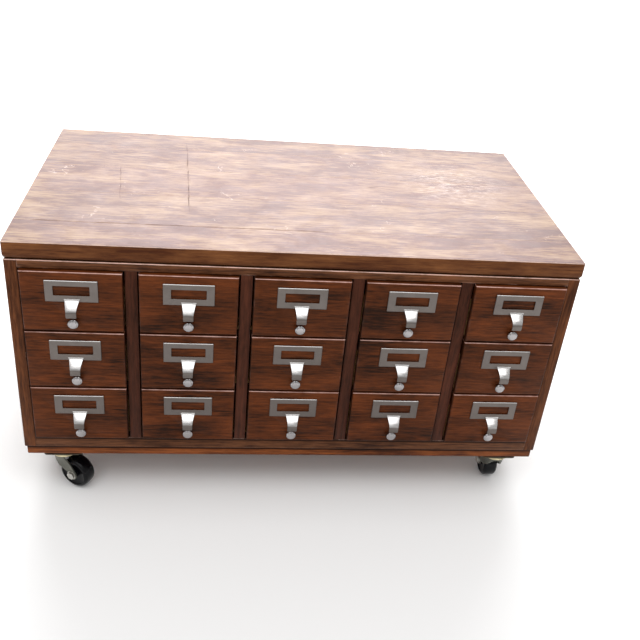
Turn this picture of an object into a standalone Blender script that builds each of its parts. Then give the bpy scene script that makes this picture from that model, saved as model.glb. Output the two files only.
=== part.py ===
"""Card catalog cabinet on casters: fifteen card drawers in a glued hardwood case.

Each drawer carries a label pull and a card rod. Sizes are in metres and +Z is up. The origin is
on the floor under the middle of the whole object, and the drawers open towards -Y.
"""

import math

import bmesh
import bpy
from mathutils import Matrix, Vector

# Clearances and cuts
SEAT_GAP = 0.0003
RUNNING_GAP = 0.0004
OVERRUN = 0.001
WELD_DISTANCE = 0.00001

# Case: five columns of three drawers between end panels and partitions
COLUMNS = 5
ROWS = 3
OPENING_WIDTH = 0.150
PARTITION_THICKNESS = 0.018
END_PANEL_THICKNESS = 0.018
CASE_DEPTH = 0.460
TOP_RAIL_HEIGHT = 0.013
BOTTOM_RAIL_HEIGHT = 0.021
BACK_THICKNESS = 0.006
BACK_REBATE = 0.004
CASE_EDGE_ROUND = 0.002
CASE_ROUND_SEGMENTS = 2
TOP_DRAWER_GAP = 0.0015
BOTTOM_DRAWER_GAP = 0.003
RUNNER_WIDTH = 0.011
RUNNER_HEIGHT = 0.006

# Top board, rounded under along its lower edge
TOP_THICKNESS = 0.028
TOP_OVERHANG = 0.001
TOP_LOWER_ROUND = 0.008
TOP_LOWER_SEGMENTS = 4
TOP_UPPER_ROUND = 0.001

# Base board under the case
BASE_THICKNESS = 0.0185
BASE_INSET = 0.003
BASE_ROUND = 0.004
BASE_SEGMENTS = 2

# Drawers
FRONT_HEIGHT = 0.1005
FRONT_THICKNESS = 0.020
FRONT_SIDE_GAP = 0.00225
FRONT_PROUD = 0.007
FRONT_ROUND = 0.0025
FRONT_SEGMENTS = 2
ROW_GAP = 0.003
BODY_SETBACK = 0.0005
BODY_RISE = 0.002
BODY_BACK_GAP = 0.016
SIDE_HEIGHT = 0.070
SIDE_THICKNESS = 0.008
DRAWER_BACK_THICKNESS = 0.010
DRAWER_BACK_DROP = 0.008
FLOOR_THICKNESS = 0.004
FLOOR_RISE = 0.003

# Label pull: a flat frame with a window, a slot behind it and a curled finger tongue
PULL_WIDTH = 0.0755
PULL_HEIGHT = 0.0353
PULL_TOP_MARGIN = 0.0129
PULL_STANDOFF = 0.0022
PULL_SHEET = 0.0010
PULL_LIP = 0.0022
WINDOW_WIDTH = 0.052
WINDOW_TOP_BORDER = 0.0088
WINDOW_BOTTOM_BORDER = 0.0107
TONGUE_WIDTH = 0.0152
TONGUE_THICKNESS = 0.0014
TONGUE_FLARE = 0.0042
TONGUE_FLARE_DROP = 0.016
# The tongue bends out of the frame, slants down, curls over and ends in a straight lip
TONGUE_ROOT_RISE = 0.0050
TONGUE_BEND = 0.0040
TONGUE_BEND_SEGMENTS = 3
TONGUE_SLOPE = math.radians(60)
TONGUE_SLANT = 0.00635
TONGUE_CURL = 0.0140
TONGUE_CURL_SEGMENTS = 6
TONGUE_TURN_IN = math.radians(10)
TONGUE_END = 0.0034

# Card rod and its knob
ROD_RADIUS = 0.0030
ROD_HEIGHT = 0.0162
ROD_SEGMENTS = 12
KNOB_RADIUS = 0.0080
KNOB_REACH = 0.0085
KNOB_FACE_RADIUS = 0.0060
KNOB_RIM_DEPTH = 0.0016
KNOB_RIM_WIDTH = 0.0034
COLLAR_RADIUS = 0.0058
COLLAR_DEPTH = 0.0016

# Casters
CASTER_END_INSET = 0.057
CASTER_EDGE_INSET = 0.0305
CASTER_TRAIL = 0.0225
PLATE_LENGTH = 0.060
PLATE_WIDTH = 0.053
PLATE_THICKNESS = 0.0025
PLATE_CORNER = 0.006
PLATE_CORNER_SEGMENTS = 3
RACE_RADIUS = 0.0262
RACE_NECK_RADIUS = 0.0215
RACE_HEIGHT = 0.0046
RACE_RIM = 0.0018
CROWN_RADIUS = 0.0235
CROWN_THICKNESS = 0.0038
CROWN_ROUND = 0.0016
KING_PIN_RADIUS = 0.0045
HORN_DEPTH = 0.0175
HORN_BACK = 0.0015
HORN_TOP_RADIUS = 0.0205
LEG_THICKNESS = 0.0024
LEG_TOP_REACH = 0.0110
LEG_END_RADIUS = 0.0095
LEG_END_SEGMENTS = 8
AXLE_RADIUS = 0.0040
BOLT_HEAD_RADIUS = 0.0066
BOLT_HEAD_HEIGHT = 0.0034
WHEEL_RADIUS = 0.028
WHEEL_WIDTH = 0.024
WHEEL_ROUND = 0.0055
WHEEL_DISH = 0.0025
WHEEL_RIM_RADIUS = 0.0215
WHEEL_CLEARANCE = 0.0088
HUB_RADIUS = 0.0085
HUB_PROUD = 0.0006
CASTER_SEGMENTS = 24
# The way each caster's wheel trails from its king pin, as it stands in the photograph
TRAIL_ANGLES = {
    "front_left": math.radians(-30),
    "front_right": math.radians(90),
    "rear_left": math.radians(-65),
    "rear_right": math.radians(-120),
}

# Worked out from the sizes above
COLUMN_PITCH = OPENING_WIDTH + PARTITION_THICKNESS
ROW_PITCH = FRONT_HEIGHT + ROW_GAP
OPENING_HEIGHT = TOP_DRAWER_GAP + ROWS * ROW_PITCH - ROW_GAP + BOTTOM_DRAWER_GAP
CASE_WIDTH = COLUMNS * COLUMN_PITCH - PARTITION_THICKNESS + 2 * END_PANEL_THICKNESS
CASE_HEIGHT = TOP_RAIL_HEIGHT + OPENING_HEIGHT + BOTTOM_RAIL_HEIGHT
FRONT_WIDTH = OPENING_WIDTH - 2 * FRONT_SIDE_GAP
BODY_WIDTH = FRONT_WIDTH - 2 * BODY_SETBACK
TONGUE_ROOT_REACH = PULL_STANDOFF - PULL_SHEET / 2
TONGUE_REACH = (
    TONGUE_ROOT_REACH + (TONGUE_BEND + TONGUE_CURL) * (1 - math.cos(TONGUE_SLOPE))
    + TONGUE_SLANT * math.sin(TONGUE_SLOPE) + TONGUE_THICKNESS / 2
)
FRONT_REACH = FRONT_PROUD + TONGUE_REACH
CASE_FRONT = FRONT_REACH - (FRONT_REACH + CASE_DEPTH + TOP_OVERHANG) / 2
CASE_BACK = CASE_FRONT + CASE_DEPTH
BACK_FACE = CASE_DEPTH - BACK_REBATE - BACK_THICKNESS
LEG_INSIDE = WHEEL_WIDTH / 2 + HUB_PROUD + RUNNING_GAP
LEG_OUTSIDE = LEG_INSIDE + LEG_THICKNESS
RACE_BOTTOM = PLATE_THICKNESS + RACE_HEIGHT
CROWN_TOP = RACE_BOTTOM + SEAT_GAP
CROWN_BOTTOM = CROWN_TOP + CROWN_THICKNESS
AXLE_DROP = CROWN_BOTTOM + WHEEL_CLEARANCE + WHEEL_RADIUS
CASTER_HEIGHT = AXLE_DROP + WHEEL_RADIUS
BASE_BOTTOM = CASTER_HEIGHT + SEAT_GAP
CASE_BOTTOM = BASE_BOTTOM + BASE_THICKNESS + SEAT_GAP
CASE_TOP = CASE_BOTTOM + CASE_HEIGHT
TOP_BOTTOM = CASE_TOP + SEAT_GAP
DRAWER_FACE = CASE_FRONT - FRONT_PROUD
DRAWER_LENGTH = FRONT_PROUD + BACK_FACE - BODY_BACK_GAP


def clear_scene():
    for old in list(bpy.data.objects):
        bpy.data.objects.remove(old)


def finish(name, colour, roughness, metallic):
    """A plain Principled material with its colour, roughness and metallic value."""
    made = bpy.data.materials.new(name)
    made.use_nodes = True
    made.diffuse_color = (*colour, 1)
    shader = made.node_tree.nodes["Principled BSDF"]
    shader.inputs["Base Color"].default_value = (*colour, 1)
    shader.inputs["Roughness"].default_value = roughness
    shader.inputs["Metallic"].default_value = metallic
    return made


def mesh_object(name, bm):
    """An object at the origin that holds the finished bmesh."""
    bmesh.ops.recalc_face_normals(bm, faces=bm.faces)
    mesh = bpy.data.meshes.new(name)
    bm.to_mesh(mesh)
    bm.free()
    made = bpy.data.objects.new(name, mesh)
    bpy.context.scene.collection.objects.link(made)
    return made


def add_box(bm, low, high):
    """Adds a box between two corners to a bmesh."""
    low, high = Vector(low), Vector(high)
    place = Matrix.LocRotScale((low + high) / 2, None, high - low)
    bmesh.ops.create_cube(bm, size=1, matrix=place)


def boxes(name, spans):
    """One object that holds a box for each pair of corners."""
    bm = bmesh.new()
    for low, high in spans:
        add_box(bm, low, high)
    return mesh_object(name, bm)


def edges_at(bm, axis, pick):
    """The edges that lie in the lowest or highest plane along an axis."""
    plane = pick(vertex.co[axis] for vertex in bm.verts)
    return [
        edge
        for edge in bm.edges
        if all(abs(vertex.co[axis] - plane) < WELD_DISTANCE for vertex in edge.verts)
    ]


def round_edges(bm, edges, radius, segments):
    bmesh.ops.bevel(
        bm, geom=edges, offset=radius, segments=segments, profile=0.5, affect="EDGES"
    )


def turned(name, profile, segments, along_y=False):
    """A solid turned round Z, or round Y, from points given as (radius, height)."""
    bm = bmesh.new()
    ring = [bm.verts.new((radius, 0, height)) for radius, height in profile]
    edges = [bm.edges.new(pair) for pair in zip(ring, ring[1:])]
    if profile[0][0] > 0:
        edges.append(bm.edges.new((ring[-1], ring[0])))
    bmesh.ops.spin(
        bm, geom=edges, cent=(0, 0, 0), axis=(0, 0, 1), angle=2 * math.pi, steps=segments
    )
    bmesh.ops.remove_doubles(bm, verts=bm.verts, dist=WELD_DISTANCE)
    if along_y:
        bmesh.ops.rotate(bm, verts=bm.verts, matrix=Matrix.Rotation(-math.pi / 2, 3, "X"))
    return mesh_object(name, bm)


def extruded(name, outline, low, high):
    """A plate whose outline lies in XZ, between two places along Y."""
    bm = bmesh.new()
    face = bm.faces.new([bm.verts.new((x, low, z)) for x, z in outline])
    moved = bmesh.ops.extrude_face_region(bm, geom=[face])["geom"]
    verts = [item for item in moved if isinstance(item, bmesh.types.BMVert)]
    bmesh.ops.translate(bm, verts=verts, vec=(0, high - low, 0))
    return mesh_object(name, bm)


def combine(target, other, operation):
    """Adds a Boolean modifier that uses the other object as a hidden helper."""
    modifier = target.modifiers.new(operation.title(), "BOOLEAN")
    modifier.operation = operation
    modifier.solver = "EXACT"
    modifier.object = other
    other.hide_render = True
    other.display_type = "WIRE"


def weld(mesh):
    """Joins the points that a cut leaves in the same place."""
    bm = bmesh.new()
    bm.from_mesh(mesh)
    bmesh.ops.remove_doubles(bm, verts=bm.verts, dist=WELD_DISTANCE)
    bm.to_mesh(mesh)
    bm.free()


def solid_mesh(target, material, smooth_angle=None):
    """The evaluated mesh of an object, which is then removed with its helpers."""
    graph = bpy.context.evaluated_depsgraph_get()
    mesh = bpy.data.meshes.new_from_object(target.evaluated_get(graph))
    mesh.name = target.name
    weld(mesh)
    mesh.materials.clear()
    mesh.materials.append(material)
    if smooth_angle is not None:
        mesh.shade_smooth()
        mesh.set_sharp_from_angle(angle=smooth_angle)
    for helper in [modifier.object for modifier in target.modifiers] + [target]:
        bpy.data.objects.remove(helper)
    return mesh


def place(name, mesh, location, parent=None, turn=0):
    """A named object with the given mesh, turned round Z and set at a place."""
    made = bpy.data.objects.new(name, mesh)
    bpy.context.scene.collection.objects.link(made)
    made.parent = parent
    made.location = location
    made.rotation_euler.z = turn
    return made


def column_centre(column):
    return (column - (COLUMNS - 1) / 2) * COLUMN_PITCH


def front_bottom(row):
    """The height of a drawer front's lower edge, with row 0 at the top."""
    return CASE_TOP - TOP_RAIL_HEIGHT - TOP_DRAWER_GAP - FRONT_HEIGHT - row * ROW_PITCH


def runner_top(row):
    return front_bottom(row) + BODY_RISE - SEAT_GAP


def carcase_mesh(material):
    """The glued case: end panels, partitions, top, bottom, back and runner strips."""
    half = CASE_WIDTH / 2
    bm = bmesh.new()
    add_box(bm, (-half, CASE_FRONT, CASE_BOTTOM), (half, CASE_BACK, CASE_TOP))
    round_edges(bm, list(bm.edges), CASE_EDGE_ROUND, CASE_ROUND_SEGMENTS)
    case = mesh_object("carcase_solid", bm)
    combine(case, column_cutter(), "DIFFERENCE")
    combine(case, back_rebate_cutter(), "DIFFERENCE")
    combine(case, runner_strips(), "UNION")
    return solid_mesh(case, material)


def column_cutter():
    """The five drawer columns, open at the front and closed by the back panel."""
    top = CASE_TOP - TOP_RAIL_HEIGHT
    spans = []
    for column in range(COLUMNS):
        middle = column_centre(column)
        low = (middle - OPENING_WIDTH / 2, CASE_FRONT - OVERRUN, top - OPENING_HEIGHT)
        high = (middle + OPENING_WIDTH / 2, CASE_FRONT + BACK_FACE, top)
        spans.append((low, high))
    return boxes("column_cutter", spans)


def back_rebate_cutter():
    """The shallow recess that the back panel sits in."""
    half = CASE_WIDTH / 2 - END_PANEL_THICKNESS / 2
    low = (-half, CASE_BACK - BACK_REBATE, CASE_BOTTOM + BOTTOM_RAIL_HEIGHT / 2)
    high = (half, CASE_BACK + OVERRUN, CASE_TOP - TOP_RAIL_HEIGHT / 2)
    return boxes("back_rebate_cutter", [(low, high)])


def runner_strips():
    """Two strips in each drawer's place, let into the panels beside it."""
    front = CASE_FRONT - FRONT_PROUD + FRONT_THICKNESS + ROW_GAP
    spans = []
    for column in range(COLUMNS):
        for row in range(ROWS):
            top = runner_top(row)
            for side in (-1, 1):
                wall = column_centre(column) + side * OPENING_WIDTH / 2
                edges = sorted((wall + side * OVERRUN, wall - side * RUNNER_WIDTH))
                low = (edges[0], front, top - RUNNER_HEIGHT)
                high = (edges[1], CASE_FRONT + BACK_FACE + OVERRUN, top)
                spans.append((low, high))
    return boxes("runner_strips", spans)


def top_board_mesh(material):
    """A thick board, square above and rounded under along its lower edge."""
    half = CASE_WIDTH / 2 + TOP_OVERHANG
    bm = bmesh.new()
    low = (-half, CASE_FRONT - TOP_OVERHANG, TOP_BOTTOM)
    high = (half, CASE_BACK + TOP_OVERHANG, TOP_BOTTOM + TOP_THICKNESS)
    add_box(bm, low, high)
    round_edges(bm, edges_at(bm, 2, min), TOP_LOWER_ROUND, TOP_LOWER_SEGMENTS)
    round_edges(bm, edges_at(bm, 2, max), TOP_UPPER_ROUND, 1)
    return solid_mesh(mesh_object("top_board_solid", bm), material)


def base_board_mesh(material):
    """The thin board under the case that the casters are screwed to."""
    half = CASE_WIDTH / 2 - BASE_INSET
    bm = bmesh.new()
    low = (-half, CASE_FRONT + BASE_INSET, BASE_BOTTOM)
    high = (half, CASE_BACK - BASE_INSET, BASE_BOTTOM + BASE_THICKNESS)
    add_box(bm, low, high)
    round_edges(bm, edges_at(bm, 2, min), BASE_ROUND, BASE_SEGMENTS)
    return solid_mesh(mesh_object("base_board_solid", bm), material)


def drawer_mesh(material):
    """A drawer with its lower middle of the face at the origin, running back along +Y."""
    half = FRONT_WIDTH / 2
    bm = bmesh.new()
    add_box(bm, (-half, 0, 0), (half, FRONT_THICKNESS, FRONT_HEIGHT))
    round_edges(bm, edges_at(bm, 1, min), FRONT_ROUND, FRONT_SEGMENTS)
    drawer = mesh_object("drawer_solid", bm)
    combine(drawer, drawer_box(), "UNION")
    combine(drawer, drawer_pockets(), "DIFFERENCE")
    combine(drawer, rod_bore(), "DIFFERENCE")
    return solid_mesh(drawer, material)


def drawer_box():
    """The outside of the drawer's sides and back, housed in the back of the front."""
    half = BODY_WIDTH / 2
    low = (-half, FRONT_THICKNESS / 2, BODY_RISE)
    step = DRAWER_LENGTH - DRAWER_BACK_THICKNESS
    middle = (half, step, BODY_RISE + SIDE_HEIGHT)
    back_low = (-half, step - OVERRUN, BODY_RISE)
    back_high = (half, DRAWER_LENGTH, BODY_RISE + SIDE_HEIGHT - DRAWER_BACK_DROP)
    box = boxes("drawer_box", [(low, middle)])
    combine(box, boxes("drawer_back", [(back_low, back_high)]), "UNION")
    return box


def drawer_pockets():
    """The card space above the drawer's floor and the shallow space under it."""
    half = BODY_WIDTH / 2 - SIDE_THICKNESS
    floor = BODY_RISE + FLOOR_RISE
    back = DRAWER_LENGTH - DRAWER_BACK_THICKNESS
    upper = (
        (-half, FRONT_THICKNESS, floor + FLOOR_THICKNESS),
        (half, back, BODY_RISE + SIDE_HEIGHT + OVERRUN),
    )
    lower = ((-half, FRONT_THICKNESS, -OVERRUN), (half, back, floor))
    return boxes("drawer_pockets", [upper, lower])


def rod_bore():
    """The bore that the card rod runs in, through the front and the back."""
    radius = ROD_RADIUS + RUNNING_GAP
    profile = [
        (0, -OVERRUN),
        (radius, -OVERRUN),
        (radius, DRAWER_LENGTH + OVERRUN),
        (0, DRAWER_LENGTH + OVERRUN),
    ]
    bore = turned("rod_bore", profile, ROD_SEGMENTS, along_y=True)
    bore.data.transform(Matrix.Translation((0, 0, ROD_HEIGHT)))
    return bore


def pull_mesh(material):
    """The label pull, with the middle of its frame on the drawer's face at the origin."""
    half, tall = PULL_WIDTH / 2, PULL_HEIGHT / 2
    plate = boxes("pull_solid", [((-half, -PULL_STANDOFF, -tall), (half, -SEAT_GAP, tall))])
    slot_low = (-half + PULL_LIP, PULL_SHEET - PULL_STANDOFF, -tall + PULL_LIP)
    slot_high = (half - PULL_LIP, OVERRUN, tall + OVERRUN)
    combine(plate, boxes("label_slot", [(slot_low, slot_high)]), "DIFFERENCE")
    pane_low = (-WINDOW_WIDTH / 2, -PULL_STANDOFF - OVERRUN, -tall + WINDOW_BOTTOM_BORDER)
    pane_high = (WINDOW_WIDTH / 2, OVERRUN, tall - WINDOW_TOP_BORDER)
    combine(plate, boxes("label_window", [(pane_low, pane_high)]), "DIFFERENCE")
    combine(plate, tongue(), "UNION")
    return solid_mesh(plate, material, math.radians(35))


def tongue_face(slope):
    """The way the tongue's outer face looks where it slopes out from the frame by an angle."""
    return Vector((0, -math.cos(slope), math.sin(slope)))


def tongue_run(slope):
    """The way the tongue runs where it slopes out from the frame by an angle."""
    return Vector((0, -math.sin(slope), -math.cos(slope)))


def tongue_path():
    """The middle line of the tongue, as a place and a slope at each step."""
    place = Vector((0, -TONGUE_ROOT_REACH, TONGUE_ROOT_RISE - PULL_HEIGHT / 2))
    for step in range(TONGUE_BEND_SEGMENTS + 1):
        slope = TONGUE_SLOPE * step / TONGUE_BEND_SEGMENTS
        yield place + TONGUE_BEND * (tongue_face(0) - tongue_face(slope)), slope
    place += TONGUE_BEND * (tongue_face(0) - tongue_face(TONGUE_SLOPE))
    place += TONGUE_SLANT * tongue_run(TONGUE_SLOPE)
    for step in range(TONGUE_CURL_SEGMENTS + 1):
        slope = TONGUE_SLOPE - (TONGUE_SLOPE + TONGUE_TURN_IN) * step / TONGUE_CURL_SEGMENTS
        yield place + TONGUE_CURL * (tongue_face(slope) - tongue_face(TONGUE_SLOPE)), slope
    place += TONGUE_CURL * (tongue_face(-TONGUE_TURN_IN) - tongue_face(TONGUE_SLOPE))
    yield place + TONGUE_END * tongue_run(-TONGUE_TURN_IN), -TONGUE_TURN_IN


def tongue_rows():
    """The four corners of the tongue's strip at each step of its path."""
    top = TONGUE_ROOT_RISE - PULL_HEIGHT / 2
    for middle, slope in tongue_path():
        outward = tongue_face(slope) * TONGUE_THICKNESS / 2
        flare = TONGUE_FLARE * max(0, 1 - (top - middle.z) / TONGUE_FLARE_DROP) ** 2
        across = Vector((TONGUE_WIDTH / 2 + flare, 0, 0))
        yield (
            middle - across - outward,
            middle + across - outward,
            middle + across + outward,
            middle - across + outward,
        )


def tongue():
    """The curled finger tongue, a strip that flares where it leaves the frame."""
    bm = bmesh.new()
    rows = [[bm.verts.new(point) for point in row] for row in tongue_rows()]
    for near, far in zip(rows, rows[1:]):
        for side in range(4):
            after = (side + 1) % 4
            bm.faces.new((near[side], near[after], far[after], far[side]))
    bm.faces.new(rows[0])
    bm.faces.new(rows[-1])
    return mesh_object("tongue", bm)


def rod_mesh(material):
    """The card rod and its knob, on the Y axis with the drawer's face at y = 0."""
    rim = -KNOB_REACH + KNOB_RIM_DEPTH
    profile = [
        (0, -KNOB_REACH),
        (KNOB_FACE_RADIUS, -KNOB_REACH),
        (KNOB_RADIUS, rim),
        (KNOB_RADIUS, rim + KNOB_RIM_WIDTH),
        (COLLAR_RADIUS, -SEAT_GAP - COLLAR_DEPTH),
        (COLLAR_RADIUS, -SEAT_GAP),
        (ROD_RADIUS, -SEAT_GAP),
        (ROD_RADIUS, DRAWER_LENGTH),
        (0, DRAWER_LENGTH),
    ]
    rod = turned("rod_solid", profile, ROD_SEGMENTS, along_y=True)
    return solid_mesh(rod, material, math.radians(35))


def caster_plate_mesh(material):
    """The screwed-on plate with its upper race, hanging from z = 0, with the pin's bore."""
    bm = bmesh.new()
    low = (-PLATE_LENGTH / 2, -PLATE_WIDTH / 2, -PLATE_THICKNESS)
    add_box(bm, low, (PLATE_LENGTH / 2, PLATE_WIDTH / 2, 0))
    upright = [edge for edge in bm.edges if edge.verts[0].co.z != edge.verts[1].co.z]
    round_edges(bm, upright, PLATE_CORNER, PLATE_CORNER_SEGMENTS)
    plate = mesh_object("caster_plate_solid", bm)
    combine(plate, upper_race(), "UNION")
    combine(plate, king_pin_bore(), "DIFFERENCE")
    return solid_mesh(plate, material, math.radians(35))


def upper_race():
    profile = [
        (0, -PLATE_THICKNESS / 2),
        (RACE_NECK_RADIUS, -PLATE_THICKNESS / 2),
        (RACE_NECK_RADIUS, -PLATE_THICKNESS),
        (RACE_RADIUS, -RACE_BOTTOM + RACE_RIM),
        (RACE_RADIUS, -RACE_BOTTOM),
        (0, -RACE_BOTTOM),
    ]
    return turned("upper_race", profile, CASTER_SEGMENTS)


def king_pin_bore():
    radius = KING_PIN_RADIUS + RUNNING_GAP
    low = -RACE_BOTTOM - OVERRUN
    profile = [(0, low), (radius, low), (radius, OVERRUN), (0, OVERRUN)]
    return turned("king_pin_bore", profile, CASTER_SEGMENTS)


def caster_fork_mesh(material):
    """The fork under its king pin, which hangs from z = 0 and trails towards +X."""
    crown = fork_crown()
    combine(crown, fork_skirt(), "UNION")
    combine(crown, axle_bolt(), "UNION")
    for name, side in (("bolt_head", -1), ("bolt_nut", 1)):
        combine(crown, bolt_end(name, side), "UNION")
    return solid_mesh(crown, material, math.radians(35))


def fork_crown():
    """The disc that turns under the race, with the king pin standing in its middle."""
    profile = [
        (0, -SEAT_GAP),
        (KING_PIN_RADIUS, -SEAT_GAP),
        (KING_PIN_RADIUS, -CROWN_TOP),
        (CROWN_RADIUS, -CROWN_TOP),
        (CROWN_RADIUS, -CROWN_BOTTOM + CROWN_ROUND),
        (CROWN_RADIUS - CROWN_ROUND, -CROWN_BOTTOM),
        (0, -CROWN_BOTTOM),
    ]
    return turned("caster_fork_solid", profile, CASTER_SEGMENTS)


def fork_skirt():
    """The pressed skirt: a horn round the front of the wheel and a leg down each side."""
    top = -CROWN_BOTTOM + CROWN_THICKNESS / 2
    waist = -CROWN_BOTTOM - HORN_DEPTH - OVERRUN
    bottom = -AXLE_DROP - LEG_END_RADIUS - OVERRUN
    bm = bmesh.new()
    rings = []
    for height, half_width in ((top, HORN_TOP_RADIUS), (waist, LEG_OUTSIDE), (bottom, LEG_OUTSIDE)):
        rings.append([bm.verts.new((x, y, height)) for x, y in skirt_plan(half_width)])
    for upper, lower in zip(rings, rings[1:]):
        for near in range(len(upper)):
            far = near - 1
            bm.faces.new((upper[far], upper[near], lower[near], lower[far]))
    bm.faces.new(rings[0])
    bm.faces.new(rings[-1])
    skirt = mesh_object("fork_skirt", bm)
    reach = HORN_TOP_RADIUS + OVERRUN
    combine(skirt, extruded("fork_side_view", fork_outline(), -reach, reach), "INTERSECT")
    return skirt


def skirt_plan(half_width):
    """The skirt seen from above at one height: a U that is open at the back."""
    back = CASTER_TRAIL + LEG_END_RADIUS + OVERRUN
    inside = half_width - LEG_THICKNESS
    steps = CASTER_SEGMENTS // 2
    turns = [math.pi / 2 + math.pi * step / steps for step in range(steps + 1)]
    outer = [(half_width * math.cos(turn), half_width * math.sin(turn)) for turn in turns]
    inner = [(inside * math.cos(turn), inside * math.sin(turn)) for turn in reversed(turns)]
    return [(back, half_width)] + outer + [(back, -half_width), (back, -inside)] + inner + [(back, inside)]


def fork_outline():
    """The fork seen from the side: the horn's lower edge, and a leg that is round about the axle."""
    front = -HORN_TOP_RADIUS - OVERRUN
    top = -CROWN_BOTTOM + CROWN_THICKNESS / 2 + OVERRUN
    low = -CROWN_BOTTOM - HORN_DEPTH
    outline = [(front, top), (front, low), (HORN_BACK, low)]
    start, sweep = math.radians(160), math.radians(220)
    for step in range(LEG_END_SEGMENTS + 1):
        angle = start + sweep * step / LEG_END_SEGMENTS
        x = CASTER_TRAIL + LEG_END_RADIUS * math.cos(angle)
        outline.append((x, -AXLE_DROP + LEG_END_RADIUS * math.sin(angle)))
    outline.append((LEG_TOP_REACH, top))
    return outline


def axle_bolt():
    reach = LEG_OUTSIDE - LEG_THICKNESS / 2
    profile = [(0, -reach), (AXLE_RADIUS, -reach), (AXLE_RADIUS, reach), (0, reach)]
    bolt = turned("axle_bolt", profile, ROD_SEGMENTS, along_y=True)
    bolt.data.transform(Matrix.Translation((CASTER_TRAIL, 0, -AXLE_DROP)))
    return bolt


def bolt_end(name, side):
    """A six-sided bolt head or nut against the outside of a leg."""
    inner = side * (LEG_OUTSIDE - LEG_THICKNESS / 2)
    outer = side * (LEG_OUTSIDE + BOLT_HEAD_HEIGHT)
    low, high = sorted((inner, outer))
    profile = [(0, low), (BOLT_HEAD_RADIUS, low), (BOLT_HEAD_RADIUS, high), (0, high)]
    head = turned(name, profile, 6, along_y=True)
    head.data.transform(Matrix.Translation((CASTER_TRAIL, 0, -AXLE_DROP)))
    return head


def caster_wheel_mesh(material):
    """The wheel on the Y axis: a rounded tread, dished sides and a bored hub."""
    half = WHEEL_WIDTH / 2
    bore = AXLE_RADIUS + RUNNING_GAP
    shoulder = WHEEL_RADIUS - WHEEL_ROUND
    corner = WHEEL_ROUND * (1 - math.cos(math.radians(45)))
    one_side = [
        (bore, half + HUB_PROUD),
        (HUB_RADIUS, half + HUB_PROUD),
        (HUB_RADIUS, half - WHEEL_DISH),
        (WHEEL_RIM_RADIUS, half - WHEEL_DISH),
        (shoulder, half),
        (WHEEL_RADIUS - corner, half - corner),
        (WHEEL_RADIUS, half - WHEEL_ROUND),
    ]
    profile = one_side + [(radius, -y) for radius, y in reversed(one_side)]
    wheel = turned("caster_wheel_solid", profile, CASTER_SEGMENTS, along_y=True)
    return solid_mesh(wheel, material, math.radians(35))


def build_case(wood, dark_wood):
    for name, mesh in (
        ("carcase", carcase_mesh(dark_wood)),
        ("top_board", top_board_mesh(wood)),
        ("base_board", base_board_mesh(wood)),
    ):
        place(name, mesh, (0, 0, 0))


def build_drawers(wood, pull_metal, rod_metal):
    """Fifteen drawers, each with its pull and its card rod parented to it."""
    drawer, pull, rod = drawer_mesh(wood), pull_mesh(pull_metal), rod_mesh(rod_metal)
    pull_height = FRONT_HEIGHT - PULL_TOP_MARGIN - PULL_HEIGHT / 2
    for row in range(ROWS):
        for column in range(COLUMNS):
            where = f"r{row + 1}_c{column + 1}"
            corner = (column_centre(column), DRAWER_FACE, front_bottom(row))
            box = place(f"drawer_{where}", drawer, corner)
            place(f"label_pull_{where}", pull, (0, 0, pull_height), box)
            place(f"card_rod_{where}", rod, (0, 0, ROD_HEIGHT), box)


def caster_places():
    """The king pin's place for each caster, by name."""
    x = CASE_WIDTH / 2 - CASTER_END_INSET
    front, rear = CASE_FRONT + CASTER_EDGE_INSET, CASE_BACK - CASTER_EDGE_INSET
    return {
        "front_left": (-x, front, CASTER_HEIGHT),
        "front_right": (x, front, CASTER_HEIGHT),
        "rear_left": (-x, rear, CASTER_HEIGHT),
        "rear_right": (x, rear, CASTER_HEIGHT),
    }


def build_casters(plate_metal, fork_metal, rubber):
    """Four casters: a fixed plate, a fork that swivels on it and a wheel in the fork."""
    plate = caster_plate_mesh(plate_metal)
    fork = caster_fork_mesh(fork_metal)
    wheel = caster_wheel_mesh(rubber)
    for where, pin in caster_places().items():
        place(f"caster_plate_{where}", plate, pin)
        turning = place(f"caster_fork_{where}", fork, pin, turn=TRAIL_ANGLES[where])
        place(f"caster_wheel_{where}", wheel, (CASTER_TRAIL, 0, -AXLE_DROP), turning)


def main():
    clear_scene()
    build_case(
        finish("top_wood", (0.230, 0.095, 0.045), 0.42, 0),
        finish("case_wood", (0.105, 0.036, 0.016), 0.45, 0),
    )
    build_drawers(
        finish("drawer_wood", (0.120, 0.040, 0.018), 0.45, 0),
        finish("pull_metal", (0.560, 0.550, 0.530), 0.34, 1),
        finish("rod_metal", (0.640, 0.630, 0.620), 0.22, 1),
    )
    build_casters(
        finish("plate_zinc", (0.620, 0.560, 0.360), 0.35, 1),
        finish("fork_zinc", (0.480, 0.480, 0.460), 0.38, 1),
        finish("wheel_rubber", (0.012, 0.012, 0.014), 0.25, 0),
    )


main()
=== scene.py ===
# %% [markdown]
# # A card catalog cabinet on casters
#
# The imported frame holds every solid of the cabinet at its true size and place. This lesson
# dresses that frame the way the cabinet was made: boards are cut, rounded and let into one
# another, the label pulls are pressed from sheet, the rods and wheels are turned, and each
# finish is then mixed from nodes. Nothing is moved or resized, so the joints still work.

# %% The measured frame
import math

import bpy
from mathutils import Matrix, Vector


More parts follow.
